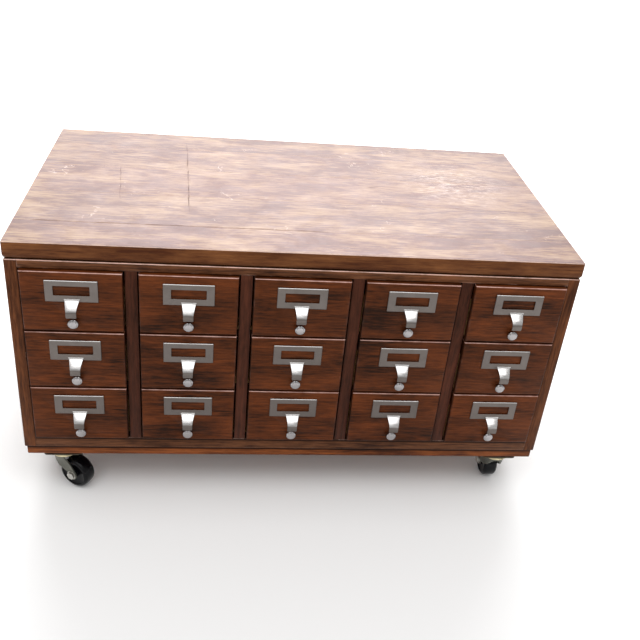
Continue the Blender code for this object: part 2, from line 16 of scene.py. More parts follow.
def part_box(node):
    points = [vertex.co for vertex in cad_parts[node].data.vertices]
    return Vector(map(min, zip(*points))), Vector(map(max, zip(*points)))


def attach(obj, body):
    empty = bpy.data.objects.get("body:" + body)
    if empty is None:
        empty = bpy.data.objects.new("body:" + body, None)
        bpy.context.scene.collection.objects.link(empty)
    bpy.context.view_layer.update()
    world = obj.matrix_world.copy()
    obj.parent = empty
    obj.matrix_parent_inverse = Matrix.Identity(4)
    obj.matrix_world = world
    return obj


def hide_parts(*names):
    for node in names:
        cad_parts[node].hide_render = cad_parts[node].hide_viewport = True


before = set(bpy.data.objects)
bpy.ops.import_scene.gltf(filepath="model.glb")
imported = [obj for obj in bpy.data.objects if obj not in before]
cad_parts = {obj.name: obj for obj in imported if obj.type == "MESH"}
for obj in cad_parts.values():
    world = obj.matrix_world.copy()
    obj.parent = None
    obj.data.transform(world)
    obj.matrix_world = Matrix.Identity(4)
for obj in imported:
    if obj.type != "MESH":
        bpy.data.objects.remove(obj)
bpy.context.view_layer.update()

# %% [markdown]
# ## Camera
#
# A picture of a box tells where its camera stood, because its straight edges run towards
# vanishing points. The values below were fitted to the corners of the top board and to the
# fifteen label pulls. The lens is given in pixels of a picture 640 wide, and the small shift
# moves the middle of the view without turning the camera.

# %% Camera at the photograph's angle
PICTURE_WIDTH = 640
SENSOR_WIDTH = 36.0
FOCAL_PIXELS = 819.33
VIEW_MIDDLE = (331.81, 278.0)
CAMERA_PLACE = Vector((-0.1126, -1.2732, 1.0293))
CAMERA_FORWARD = Vector((0.1262, 0.8621, -0.4908)).normalized()
CAMERA_UP = Vector((-0.0347, 0.4983, 0.8663)).normalized()

lens = bpy.data.cameras.new("camera")
lens.sensor_width = SENSOR_WIDTH
lens.lens = FOCAL_PIXELS * SENSOR_WIDTH / PICTURE_WIDTH
lens.shift_x = (PICTURE_WIDTH / 2 - VIEW_MIDDLE[0]) / PICTURE_WIDTH
lens.shift_y = (VIEW_MIDDLE[1] - PICTURE_WIDTH / 2) / PICTURE_WIDTH
camera = bpy.data.objects.new("camera", lens)
bpy.context.scene.collection.objects.link(camera)
across = CAMERA_FORWARD.cross(CAMERA_UP).normalized()
above = across.cross(CAMERA_FORWARD)
turned_axes = Matrix((across, above, -CAMERA_FORWARD)).transposed().to_4x4()
camera.matrix_world = Matrix.Translation(CAMERA_PLACE) @ turned_axes
bpy.context.scene.camera = camera
print("lens", round(lens.lens, 2), "mm, shift", round(lens.shift_x, 4), round(lens.shift_y, 4))

# %% [markdown]
# ## Light
#
# The top board shines almost white although the wood is brown, so a large bright surface
# stands behind and above the cabinet and is mirrored in the varnish at a low angle. The
# fronts are lit evenly by a second soft surface over the camera. A pale sky fills the rest.

# %% Soft studio lights
SKY_STRENGTH = 0.55
SEEN_SKY_STRENGTH = 1.05
SKY_TINT = (1.0, 0.99, 0.98, 1)
# Name, place, target, width and height in metres, and power in watts
SOFT_LIGHTS = (
    ("rear_light", (0.15, 2.1, 2.05), (0, 0, 0.45), 3.4, 1.9, 124),
    ("overhead_light", (0.0, -0.9, 2.9), (0, -0.3, 0.3), 3.2, 2.4, 48),
    ("front_light", (-0.5, -2.4, 2.0), (0, -0.2, 0.3), 2.4, 1.2, 8),
)

sky = bpy.data.worlds.new("studio")
sky.use_nodes = True
background = sky.node_tree.nodes["Background"]
background.inputs["Color"].default_value = SKY_TINT
sight = sky.node_tree.nodes.new("ShaderNodeLightPath")
brightness = sky.node_tree.nodes.new("ShaderNodeMapRange")
brightness.inputs["To Min"].default_value = SKY_STRENGTH
brightness.inputs["To Max"].default_value = SEEN_SKY_STRENGTH
sky.node_tree.links.new(sight.outputs["Is Camera Ray"], brightness.inputs["Value"])
sky.node_tree.links.new(brightness.outputs[0], background.inputs["Strength"])
bpy.context.scene.world = sky
bpy.context.scene.view_settings.view_transform = "Standard"


def soft_light(name, place, target, width, height, watts):
    """A rectangular light at a place, aimed at a target."""
    data = bpy.data.lights.new(name, "AREA")
    data.shape = "RECTANGLE"
    data.size = width
    data.size_y = height
    data.energy = watts
    light = bpy.data.objects.new(name, data)
    bpy.context.scene.collection.objects.link(light)
    light.location = place
    aim = Vector(target) - Vector(place)
    light.rotation_euler = aim.to_track_quat("-Z", "Y").to_euler()


for settings in SOFT_LIGHTS:
    soft_light(*settings)
print(len(SOFT_LIGHTS), "soft lights under a pale sky")

# %% [markdown]
# ## Bench tools
#
# Every piece is shaped by hand operations: a block of stock is added at its size, edges are
# chosen by where they lie, and then bevelled, cut or extruded. An operator works on all that
# is selected, so each tool starts by clearing the selection.

# %% Taking up a piece
MILLIMETRES = 1000
SELECT_MODES = {
    "points": (True, False, False),
    "edges": (False, True, False),
    "faces": (False, False, True),
}


def take_up(piece):
    """Makes a piece the only selected and active one."""
    if bpy.context.object and bpy.context.object.mode != "OBJECT":
        bpy.ops.object.mode_set(mode="OBJECT")
    bpy.ops.object.select_all(action="DESELECT")
    piece.select_set(True)
    bpy.context.view_layer.objects.active = piece


def settle(piece):
    """Puts a piece's place, turn and size into its mesh."""
    take_up(piece)
    bpy.ops.object.transform_apply(location=True, rotation=True, scale=True)


def pick(piece, kind, wanted):
    """Opens a piece in edit mode with only the wanted points, edges or faces selected."""
    take_up(piece)
    mesh = piece.data
    bpy.context.tool_settings.mesh_select_mode = SELECT_MODES[kind]
    for group in (mesh.vertices, mesh.edges, mesh.polygons):
        group.foreach_set("select", [False] * len(group))
    if kind == "points":
        for point in mesh.vertices:
            point.select = wanted(point.co)
    elif kind == "edges":
        for edge in mesh.edges:
            edge.select = wanted(*(mesh.vertices[end].co for end in edge.vertices))
    else:
        for face in mesh.polygons:
            face.select = wanted(face.center, face.normal)
    bpy.ops.object.mode_set(mode="EDIT")


def put_down():
    """Closes the piece that is open in edit mode."""
    bpy.ops.object.mode_set(mode="OBJECT")


def tell(piece):
    """Prints what a piece measures, in millimetres."""
    size = []
    for axis in range(3):
        places = [vertex.co[axis] for vertex in piece.data.vertices]
        size.append(f"{MILLIMETRES * (max(places) - min(places)):.1f}")
    print(piece.name, "is", " x ".join(size), "mm,", len(piece.data.polygons), "faces")


# %% Choosing edges
SAME_PLACE = 0.00002


def close_to(value, target):
    """True where two places on an axis are the same."""
    return abs(value - target) < SAME_PLACE


def edges_along(axis):
    """Wants the edges that run along an axis."""
    others = [other for other in range(3) if other != "xyz".index(axis)]
    return lambda a, b: all(close_to(a[other], b[other]) for other in others)


def edges_at(axis, place):
    """Wants the edges that lie at one place on an axis."""
    index = "xyz".index(axis)
    return lambda a, b: close_to(a[index], place) and close_to(b[index], place)


# %% Stock
def claim(name, scale=(1, 1, 1)):
    """Names the piece that was just added, gives it a scale and settles it."""
    piece = bpy.context.object
    piece.name = name
    piece.scale = scale
    settle(piece)
    return piece


def block(name, low, high):
    """A block of stock between two corners."""
    low = Vector(low)
    high = Vector(high)
    bpy.ops.mesh.primitive_cube_add(size=1, location=(low + high) / 2)
    return claim(name, high - low)


def rod_stock(name, middle, radius, length, axis, sides):
    """Round stock with its middle at a place, along Y or Z."""
    lean = math.pi / 2 if axis == "y" else 0
    bpy.ops.mesh.primitive_cylinder_add(
        vertices=sides, radius=radius, depth=length, location=middle, rotation=(lean, 0, 0)
    )
    return claim(name)


# %% Cuts and modifiers
def round_over(piece, wanted, radius, segments):
    """Rounds the wanted edges."""
    pick(piece, "edges", wanted)
    bpy.ops.mesh.bevel(offset=radius, segments=segments, profile=0.5, affect="EDGES")
    put_down()


def fit(piece, kind, **settings):
    """Adds a modifier and applies it."""
    take_up(piece)
    modifier = piece.modifiers.new(kind.title(), kind)
    for name, value in settings.items():
        setattr(modifier, name, value)
    bpy.ops.object.modifier_apply(modifier=modifier.name)


def soften(piece, width, segments=2, angle=50):
    """Takes the sharpness off every edge that is still square."""
    fit(
        piece, "BEVEL", width=width, segments=segments, limit_method="ANGLE",
        angle_limit=math.radians(angle), harden_normals=False,
    )


def shape_with(piece, other, operation):
    """Cuts, joins or crops a piece with another, which is then thrown away."""
    fit(piece, "BOOLEAN", object=other, operation=operation, solver="EXACT")
    bpy.data.objects.remove(other)


def saw(piece, place, facing, clear_outer=False):
    """Cuts a line round a piece where a plane crosses it."""
    pick(piece, "faces", lambda centre, normal: True)
    bpy.ops.mesh.bisect(plane_co=place, plane_no=facing, clear_outer=clear_outer)
    put_down()


def draw_out(step):
    """Draws the selected points, edges or faces out by a step."""
    bpy.ops.mesh.extrude_region_move(TRANSFORM_OT_translate={"value": step})


# %% Shading, joining and copies
SMOOTH_ANGLE = 32


def smooth(piece, angle=SMOOTH_ANGLE):
    """Smooth shading over the curves, with the flat faces kept crisp."""
    take_up(piece)
    bpy.ops.object.shade_smooth_by_angle(angle=math.radians(angle))


def complete(piece, finish, angle=SMOOTH_ANGLE):
    """Smooth shading, a finish, and a note of the size."""
    smooth(piece, angle)
    piece.data.materials.append(finish)
    tell(piece)


def join(name, pieces):
    """Several loose parts as one piece."""
    take_up(pieces[0])
    for piece in pieces:
        piece.select_set(True)
    bpy.ops.object.join()
    joined = bpy.context.object
    joined.name = name
    return joined


def repeat(master, name, shift, turn=0):
    """A copy with a mesh of its own, turned round Z and moved inside that mesh."""
    made = master.copy()
    made.data = master.data.copy()
    made.name = name
    bpy.context.scene.collection.objects.link(made)
    made.data.transform(Matrix.Translation(shift) @ Matrix.Rotation(turn, 4, "Z"))
    return made


# %% [markdown]
# ## One number for every board
#
# No two boards come from the same place in a tree. Each board carries one number from 0 to 1
# in a mesh attribute called board, and the wood finish uses it to shift the grain and to
# change the tone a little. Steps of the golden ratio give numbers that never bunch up.

# %% Numbering the boards
GOLDEN_STEP = 0.618034
ARRIS = 0.0005
boards_cut = 0


def number_board(piece):
    """Gives all faces of a board one number of its own."""
    global boards_cut
    boards_cut += 1
    number = boards_cut * GOLDEN_STEP % 1
    marks = piece.data.attributes.get("board")
    if marks is None:
        marks = piece.data.attributes.new("board", "FLOAT", "FACE")
    marks.data.foreach_set("value", [number] * len(piece.data.polygons))


def ease(piece):
    """Takes the sharpness off all edges of a board."""
    soften(piece, ARRIS)
    smooth(piece)


def assign(piece, body, stands_for):
    """Gives a piece the body that it moves with, and hides the solid it stands for."""
    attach(piece, body)
    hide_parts(stands_for)


def place_board(piece, finish, stands_for):
    """Numbers and finishes a board of the case and assigns it."""
    number_board(piece)
    piece.data.materials.append(finish)
    assign(piece, "root", stands_for)
    tell(piece)


# %% [markdown]
# ## Shared effects
#
# Wood grain and worn edges turn up on many pieces, so each is a node group that is built once
# and placed in each finish with values of its own. A group gives out masks and values only;
# the shader that uses them stays in the finish.

# %% Small helpers for nodes
def feed(tree, target, inputs):
    """Fills inputs of a node: a socket is linked, and any other value is set."""
    for label, value in inputs.items():
        if isinstance(value, bpy.types.NodeSocket):
            tree.links.new(value, target.inputs[label])
        else:
            target.inputs[label].default_value = value


def node(tree, kind, inputs=None, **settings):
    """Adds a node with its settings and inputs."""
    made = tree.nodes.new(f"ShaderNode{kind}")
    for name, value in settings.items():
        setattr(made, name, value)
    feed(tree, made, inputs or {})
    return made


def reckon(tree, operation, first, second=0.0, clamp=False):
    """One step of arithmetic on values."""
    inputs = {0: first, 1: second}
    return node(tree, "Math", inputs, operation=operation, use_clamp=clamp).outputs[0]


def times(tree, first, *others):
    """Values multiplied with one another."""
    for other in others:
        first = reckon(tree, "MULTIPLY", first, other)
    return first


def weighed(tree, start, *parts):
    """A start value with each part added by its own share."""
    for part, share in parts:
        start = reckon(tree, "ADD", start, times(tree, part, share))
    return start


def vector_step(tree, operation, *values):
    """One step of arithmetic on vectors; a product, distance or length is a plain value."""
    step = node(tree, "VectorMath", dict(enumerate(values)), operation=operation)
    plain = operation in ("DOT_PRODUCT", "DISTANCE", "LENGTH")
    return step.outputs["Value" if plain else "Vector"]


def axes_of(tree, vector):
    """The three parts of a vector."""
    return node(tree, "SeparateXYZ", {0: vector}).outputs


def blend(tree, share, first, second, mode="MIX"):
    """Two colours mixed by a share from 0 to 1."""
    inputs = {0: share, 6: first, 7: second}
    return node(tree, "Mix", inputs, data_type="RGBA", blend_type=mode).outputs[2]


def cover(tree, colour, other, mask, share):
    """Lays another colour over a colour, as thick as a mask times a share."""
    return blend(tree, times(tree, mask, share), colour, other)


def between(tree, value, low, high, out_low=0.0, out_high=1.0):
    """Stretches the part of a value between low and high over the given range."""
    inputs = {
        "Value": value, "From Min": low, "From Max": high, "To Min": out_low, "To Max": out_high,
    }
    return node(tree, "MapRange", inputs, clamp=True).outputs[0]


# %% Patterns, groups and colours
def stretch(tree, vector, scale):
    """Squeezes a pattern by a different amount along each axis."""
    return node(tree, "Mapping", {"Vector": vector, "Scale": scale}).outputs["Vector"]


def noise(tree, vector, scale, detail, roughness, distortion=0.0):
    """A cloud of values between 0 and 1; its scale is one number, or one for each axis."""
    if isinstance(scale, tuple):
        vector = stretch(tree, vector, scale)
        scale = 1.0
    inputs = {
        "Vector": vector, "Scale": scale, "Detail": detail,
        "Roughness": roughness, "Distortion": distortion,
    }
    return node(tree, "TexNoise", inputs).outputs["Fac"]


def new_group(name, inputs):
    """A node group with named inputs; one without a start value takes a vector."""
    group = bpy.data.node_groups.new(name, "ShaderNodeTree")
    for label, value in inputs.items():
        kind = "NodeSocketVector" if value is None else "NodeSocketFloat"
        socket = group.interface.new_socket(label, in_out="INPUT", socket_type=kind)
        if value is not None:
            socket.default_value = value
    return group, group.nodes.new("NodeGroupInput").outputs


def give_out(group, **masks):
    """Names the masks that a group gives out."""
    for label in masks:
        group.interface.new_socket(label, in_out="OUTPUT", socket_type="NodeSocketFloat")
    result = group.nodes.new("NodeGroupOutput").inputs
    for label, mask in masks.items():
        group.links.new(mask, result[label])
    print(group.name, "has", len(group.nodes), "nodes")


def use_group(tree, group, **inputs):
    """Places a shared group in a finish."""
    spaced = {label.replace("_", " "): value for label, value in inputs.items()}
    return node(tree, "Group", spaced, node_tree=group).outputs


def paint(red, green, blue):
    """A colour as seen on a screen, 0 to 255, as the linear values that a shader takes."""
    linear = []
    for part in (red, green, blue):
        share = part / 255
        linear.append(share / 12.92 if share < 0.04045 else ((share + 0.055) / 1.055) ** 2.4)
    return (*linear, 1)


# %% [markdown]
# ### Grain
#
# Grain has several scales. Growth rings and soft streaks cross the board as long thin bands.
# Fibres are finer still, many times longer than wide. Pores are short dark dashes that the
# stain fills. And stain soaks in unevenly, which leaves blotches as wide as a hand. The board
# number moves them all, so that each board is its own piece of wood.

# %% Grain group
BOARD_SHIFTS = (3.7, 1.9, 2.3)
RING_CENTRE = (0.0, 0.09, 0.05)
# How often each pattern changes in a metre, along the grain and across it
STREAK_SCALE = (13.0, 230.0, 230.0)
FIBRE_SCALE = (36.0, 360.0, 360.0)
PORE_SCALE = (70.0, 1300.0, 1300.0)
BLOTCH_SCALE = (9.0, 27.0, 27.0)
RING_STRETCH = (0.09, 1.0, 1.0)
RING_DENSITY = 46.0
RING_WAVINESS = 9.0
RING_SHARE = 0.3
STREAK_SHARE = 0.7

grain_group, given = new_group("board_grain", {"Vector": None, "Board": 0.5})
tree = grain_group
shift = node(tree, "VectorMath", {0: BOARD_SHIFTS, "Scale": given["Board"]}, operation="SCALE")
moved = vector_step(tree, "ADD", given["Vector"], shift.outputs[0])
ring_place = vector_step(tree, "ADD", moved, RING_CENTRE)
ring_inputs = {
    "Vector": stretch(tree, ring_place, RING_STRETCH), "Scale": RING_DENSITY,
    "Distortion": RING_WAVINESS, "Detail": 3.0, "Detail Scale": 1.6, "Detail Roughness": 0.6,
}
rings = node(tree, "TexWave", ring_inputs, wave_type="RINGS", rings_direction="X").outputs["Fac"]
streaks = noise(tree, moved, STREAK_SCALE, 5.0, 0.62, 0.9)
fibre = noise(tree, moved, FIBRE_SCALE, 4.0, 0.68)
pores = noise(tree, moved, PORE_SCALE, 1.5, 0.5)
blotches = noise(tree, moved, BLOTCH_SCALE, 5.0, 0.58, 0.4)
give_out(
    tree,
    Figure=weighed(
        tree, 0.0, (rings, RING_SHARE), (between(tree, streaks, 0.25, 0.75), STREAK_SHARE)
    ),
    Fibre=between(tree, fibre, 0.28, 0.72),
    Pores=between(tree, pores, 0.60, 0.74),
    Blotch=between(tree, blotches, 0.3, 0.7),
)

# %% [markdown]
# ### Worn edges, painted highlight and painted shade
#
# Hands and cloths thin the varnish along the outer edges first. A Bevel node gives the
# normal that a rounded edge would have; where it differs from the real normal, an edge is
# near. Noise breaks the line up, because nothing wears evenly. The upper-edge mask is a painted
# highlight along the rounded edge at the top of a piece, where light from above would catch it.
# The rim mask is painted shade on the edges to left, right and below. Both come from the way
# that the surface looks.

# %% Edge wear, painted highlight and painted shade group
EDGE_SAMPLES = 6
EDGE_SPAN = (0.0, 0.18)
PATCH_DENSITY = 45.0
PATCH_FADE = 0.16
# Where a face counts as the upper edge that gets the painted highlight, by the Z and X of the way it
# looks
RISING_FROM = (0.30, 0.55)
LEVEL_FROM = (0.97, 0.85)
CORNER_FROM = (0.80, 0.60)
# Where it counts as an edge to left, right or below, which gets painted shade
BESIDE_FROM = (0.25, 0.75)
BELOW_FROM = (-0.15, -0.60)

wear_and_light_group, given = new_group("edge_wear_and_light", {"Vector": None, "Radius": 0.002, "Break Up": 0.5})
tree = wear_and_light_group
rounded = node(tree, "Bevel", {"Radius": given["Radius"]}, samples=EDGE_SAMPLES).outputs[0]
real = node(tree, "NewGeometry").outputs["Normal"]
likeness = vector_step(tree, "DOT_PRODUCT", rounded, real)
edge = between(tree, reckon(tree, "SUBTRACT", 1.0, likeness, clamp=True), *EDGE_SPAN)
patches = noise(tree, given["Vector"], PATCH_DENSITY, 5.0, 0.7)
limit = given["Break Up"]
kept = between(tree, patches, limit, reckon(tree, "ADD", limit, PATCH_FADE))
looks = axes_of(tree, node(tree, "TexCoord").outputs["Normal"])
rising = between(tree, looks["Z"], *RISING_FROM)
falling = between(tree, looks["Z"], *LEVEL_FROM)
broken = between(tree, patches, 0.30, 0.55, 0.35, 1.0)
aside = reckon(tree, "ABSOLUTE", looks["X"])
beside = between(tree, aside, *BESIDE_FROM)
below = between(tree, looks["Z"], *BELOW_FROM)
# Upper edges get the painted highlight, and edges to the sides and below get painted shade
give_out(
    tree,
    Edge=edge,
    Wear=times(tree, edge, kept),
    Upper=times(tree, rising, falling, broken, between(tree, aside, *CORNER_FROM)),
    Rim=reckon(tree, "MAXIMUM", beside, below),
)

# %% [markdown]
# ### Handling marks
#
# A surface that is wiped, touched and dusted is shinier in some places than in others. Soft
# clouds give the smears, and a finer noise gives specks of dust and tiny pits.

# %% Handling group
SMEAR_DENSITY = 21.0
SPECK_DENSITY = 900.0

mark_group, given = new_group("handling_marks", {"Vector": None})
smears = noise(mark_group, given["Vector"], SMEAR_DENSITY, 5.0, 0.65, 1.2)
specks = noise(mark_group, given["Vector"], SPECK_DENSITY, 2.0, 0.5)
give_out(
    mark_group,
    Smears=between(mark_group, smears, 0.3, 0.7),
    Specks=between(mark_group, specks, 0.66, 0.76),
)

# %% [markdown]
# ### Cracks and scratches
#
# The top has split a little along its grain, and things have been dragged over it. A crack is
# a thin band between two points that wobbles and fades at its ends. A scratched place fades out
# from its middle, and curls follow one contour line of a slow cloud, only here and there.

# %% Cracks and scratches of the top
TOP_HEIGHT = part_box("top_board")[1].z
# Where each crack in the top starts and ends and how wide it is, in metres
CRACKS = (
    ((-0.408, -0.147), (0.042, -0.147), 0.0022),
    ((-0.302, 0.079), (-0.286, -0.061), 0.0007),
    ((-0.197, 0.202), (-0.188, 0.080), 0.0008),
    ((-0.188, 0.080), (-0.175, -0.099), 0.0011),
    ((0.118, 0.030), (0.150, 0.042), 0.0016),
)
CRACK_TAPER = 0.012
CRACK_CORE = 0.4
CRACK_WOBBLE = 0.001
WOBBLE_DENSITY = 30.0
FAINT_DENSITY = 55.0
SCRATCHED = (0.285, 0.068, TOP_HEIGHT)
SCRATCH_REACH = 0.12
SCRATCH_SCALE = (60.0, 420.0, 1.0)
CURL_SCALE = (26.0, 38.0, 1.0)
CURL_WIDTH = (0.012, 0.003)
CURLED_DENSITY = 13.0
CURLED_PLACES = (0.60, 0.67)

crack_group, given = new_group(
    "straight_crack",
    {"Vector": None, "Start": None, "Along": None, "Across": None, "Length": 0.1, "Width": 0.001},
)
tree = crack_group
wobble = noise(tree, given["Vector"], WOBBLE_DENSITY, 3.0, 0.6)
offset = vector_step(tree, "SUBTRACT", given["Vector"], given["Start"])
run = vector_step(tree, "DOT_PRODUCT", offset, given["Along"])
apart = vector_step(tree, "DOT_PRODUCT", offset, given["Across"])
aside = between(tree, wobble, 0.3, 0.7, -CRACK_WOBBLE, CRACK_WOBBLE)
apart = reckon(tree, "ABSOLUTE", reckon(tree, "ADD", apart, aside))
near = between(tree, apart, given["Width"], times(tree, given["Width"], CRACK_CORE))
begun = between(tree, run, 0.0, CRACK_TAPER)
last_part = reckon(tree, "SUBTRACT", given["Length"], CRACK_TAPER)
ending = between(tree, run, given["Length"], last_part)
clouds = noise(tree, given["Vector"], FAINT_DENSITY, 2.0, 0.5)
faint = between(tree, clouds, 0.35, 0.6, 0.25, 1.0)
give_out(tree, Mark=times(tree, near, begun, ending, faint))

scratch_group, given = new_group("pale_scratches", {"Vector": None, "Middle": None, "Reach": 0.08})
tree = scratch_group
away = vector_step(tree, "DISTANCE", given["Vector"], given["Middle"])
worn_place = between(tree, away, given["Reach"], 0.0)
fine = noise(tree, given["Vector"], SCRATCH_SCALE, 4.0, 0.7, 0.6)
winding = noise(tree, given["Vector"], CURL_SCALE, 3.0, 0.5, 0.8)
contour = reckon(tree, "ABSOLUTE", reckon(tree, "SUBTRACT", winding, 0.5))
curl = between(tree, contour, *CURL_WIDTH)
clouds = noise(tree, given["Vector"], CURLED_DENSITY, 3.0, 0.6)
here = between(tree, clouds, *CURLED_PLACES)
give_out(
    tree,
    Scratches=times(tree, worn_place, between(tree, fine, 0.50, 0.66)),
    Curls=times(tree, curl, here),
)

# %% [markdown]
# ## Stained wood
#
# The cabinet is hardwood under brown stain and a worn satin varnish. The finish mixes a deep
# and a light tone by figure and fibre, darkens pores and blotches, lets the stain collect near
# edges, partly as painted shade, and thins it on them. It also paints shade on edges to the
# sides and below, a shadow line under a board above, and a highlight along top edges. The
# grain runs along the length of each board, so one finish is mixed for each direction.

# %% Making a finish
def new_finish(name):
    """An empty material; returns it with its node tree and its Principled shader."""
    made = bpy.data.materials.new(name)
    made.use_nodes = True
    return made, made.node_tree, made.node_tree.nodes["Principled BSDF"]


def carve(tree, height, strength, depth):
    """A fine relief with a depth in metres."""
    inputs = {"Strength": strength, "Distance": depth, "Height": height}
    return node(tree, "Bump", inputs).outputs[0]


# %% Marks on the top
FADED_TONE = (0.44, 0.78)
PALE_WOOD = paint(226, 208, 190)
DARK_CRACKS = 0.65
PALE_SCRATCHES = 0.9
PALE_CURLS = 0.6


def top_marks(tree, place, colour, dark, tone, faded):
    """Faded patches, cracks, a scratched place and pale curls on a much used top."""
    colour = blend(tree, between(tree, tone, *FADED_TONE), colour, faded)
    cracked = 0.0
    for start, end, width in CRACKS:
        start = Vector((*start, TOP_HEIGHT))
        run = Vector((*end, TOP_HEIGHT)) - start
        across = run.cross(Vector((0, 0, 1))).normalized()
        mark = use_group(
            tree, crack_group, Vector=place, Start=start, Along=run.normalized(), Across=across,
            Length=run.length, Width=width,
        )["Mark"]
        colour = cover(tree, colour, dark, mark, DARK_CRACKS)
        cracked = reckon(tree, "MAXIMUM", mark, cracked)
    scratched = use_group(tree, scratch_group, Vector=place, Middle=SCRATCHED, Reach=SCRATCH_REACH)
    colour = cover(tree, colour, PALE_WOOD, scratched["Scratches"], PALE_SCRATCHES)
    colour = cover(tree, colour, PALE_WOOD, scratched["Curls"], PALE_CURLS)
    return colour, cracked


# %% Mixing a wood finish
VARNISH_TINT = (1.0, 0.62, 0.45, 1)
# Multiplied in to darken pores and cracks, and for the painted shade at edges, sides and under
# boards
STAIN_AND_SHADE = (0.33, 0.30, 0.30, 1)
# From the deep to the light colour, and how far one board may be darker or lighter than another
TONE_SPAN = (0.25, 0.75)
OWN_TONE = (0.88, 1.12)
# How strongly each mask tells in the colour and in the roughness
DARK_PORES = 0.6
DARK_EDGES = 0.5
WORN_EDGES = 0.5
DULL_SMEARS = 0.12
DULL_FIBRES = 0.06
DULL_CRACKS = 0.35
COAT_ROUGHNESS = 0.22
GRAIN_STRENGTH = 0.5
# How far under the board above the painted shadow line is still full, and where it has faded out
SHADOW_FULL = 0.0038
SHADOW_FADE = 0.0056
GRAIN_TURNS = {"x": (0, 0, 0), "y": (0, 0, -math.pi / 2), "z": (0, math.pi / 2, 0)}


def wood(
    name, grain, deep, light, worn_and_highlight, mix=(0.35, 0.3, 0.35), rough=0.38, coat=0.0, wear=0.5,
    shine=0.2, tint=VARNISH_TINT, side_shade=0.0, faded=None, shadow_height=None, edge_reach=0.0032,
    relief=0.0002,
):
    """Stained and varnished wood with the grain along one axis.

    The mix tells how much figure, fibre and blotches each have in the tone of the wood.
    Faded is the colour of the patches where the stain on a level face has gone. The shadow
    height is the height of a board above, under which a dark line is painted as its shadow.
    The third colour serves both for worn edges and for the painted highlight along top edges.
    """
    made, tree, shader = new_finish(name)
    place = node(tree, "TexCoord").outputs["Object"]
    along = node(tree, "Mapping", {"Vector": place, "Rotation": GRAIN_TURNS[grain]}).outputs[0]
    number = node(tree, "Attribute", attribute_name="board").outputs["Fac"]
    grains = use_group(tree, grain_group, Vector=along, Board=number)
    edges = use_group(tree, wear_and_light_group, Vector=place, Radius=edge_reach, Break_Up=1 - wear)
    smears = use_group(tree, mark_group, Vector=place)["Smears"]

    patterns = [grains[label] for label in ("Figure", "Fibre", "Blotch")]
    tone = weighed(tree, 0.0, *zip(patterns, mix))
    colour = blend(tree, between(tree, tone, *TONE_SPAN), deep, light)
    own = between(tree, number, 0.0, 1.0, *OWN_TONE)
    grey = node(tree, "CombineColor", {0: own, 1: own, 2: own}).outputs[0]
    colour = blend(tree, 1.0, colour, grey, "MULTIPLY")
    dark = blend(tree, 1.0, colour, STAIN_AND_SHADE, "MULTIPLY")
    colour = cover(tree, colour, dark, grains["Pores"], DARK_PORES)
    # Darker near edges: stain that collects there, partly painted shade
    colour = cover(tree, colour, dark, edges["Edge"], DARK_EDGES)
    # Painted shade on the edges that look to the sides or down
    colour = cover(tree, colour, dark, edges["Rim"], side_shade)
    # A painted shadow line under the board above
    if shadow_height:
        line = between(tree, axes_of(tree, place)["Z"], shadow_height - SHADOW_FADE, shadow_height - SHADOW_FULL)
        black = blend(tree, 1.0, dark, STAIN_AND_SHADE, "MULTIPLY")
        colour = blend(tree, line, colour, black)
    cracked = 0.0
    if faded:
        colour, cracked = top_marks(tree, place, colour, dark, tone, faded)
    colour = cover(tree, colour, worn_and_highlight, edges["Wear"], WORN_EDGES)
    # Painted highlight: the worn colour laid along the top edges
    colour = blend(tree, edges["Upper"], colour, worn_and_highlight)

    gloss = weighed(
        tree, rough, (smears, DULL_SMEARS), (grains["Fibre"], DULL_FIBRES), (cracked, DULL_CRACKS)
    )
    height = reckon(tree, "SUBTRACT", grains["Fibre"], grains["Pores"])
    feed(tree, shader, {
        "Base Color": colour, "Roughness": gloss,
        "Normal": carve(tree, height, GRAIN_STRENGTH, relief),
        "Coat Weight": between(tree, edges["Upper"], 0.0, 1.0, coat, 1.0),
        "Coat Roughness": COAT_ROUGHNESS, "Specular IOR Level": shine, "Specular Tint": tint,
    })
    return made


# %% Wood finishes
# The third colour of each finish is both the worn colour and the painted highlight along top edges,
# and the value for edges at the sides and below sets their painted shade
TOP_TINT = (1.0, 0.78, 0.78, 1)

top_finish = wood(
    "top_board_wood", "x", paint(68, 34, 25), paint(108, 66, 44), paint(200, 168, 150),
    mix=(0.16, 0.42, 0.42), rough=0.38, wear=0.42, shine=1.0, tint=TOP_TINT,
    side_shade=0.8, faded=paint(152, 126, 94), edge_reach=0.004, relief=0.00012,
)
top_rim_finish = wood(
    "top_board_rim_wood", "x", paint(66, 30, 12), paint(122, 76, 42), paint(150, 104, 70),
    wear=0.3, side_shade=0.5,
)
end_finish = wood(
    "end_panel_wood", "z", paint(48, 22, 10), paint(118, 68, 38), paint(226, 186, 170), wear=0.40
)
# Partitions are painted darker than the end panels, as painted shade of the recess between the
# drawers
upright_finish = wood(
    "partition_wood", "z", paint(32, 13, 8), paint(86, 45, 31), paint(140, 104, 92), wear=0.40,
    side_shade=0.85,
)


def rail_wood(name, shadow_height=None):
    """The finish of a rail, which may have a painted shadow line under the board above."""
    return wood(
        name, "x", paint(30, 12, 8), paint(118, 74, 47), paint(236, 196, 180), wear=0.50,
        side_shade=0.8, shadow_height=shadow_height,
    )


rail_finish = rail_wood("case_wood_rail")
# The base board gets a painted shadow line under the overhang of the case
base_finish = wood(
    "base_board_wood", "x", paint(54, 22, 8), paint(142, 78, 38), paint(150, 96, 60),
    rough=0.42, wear=0.4, side_shade=0.4, shadow_height=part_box("base_board")[1].z,
)
front_finish = wood(
    "drawer_front_wood", "x", paint(26, 8, 3), paint(104, 51, 21), paint(196, 152, 140),
    mix=(0.22, 0.36, 0.42), wear=0.50, side_shade=0.85, edge_reach=0.0044,
)
print("seven stained wood finishes")

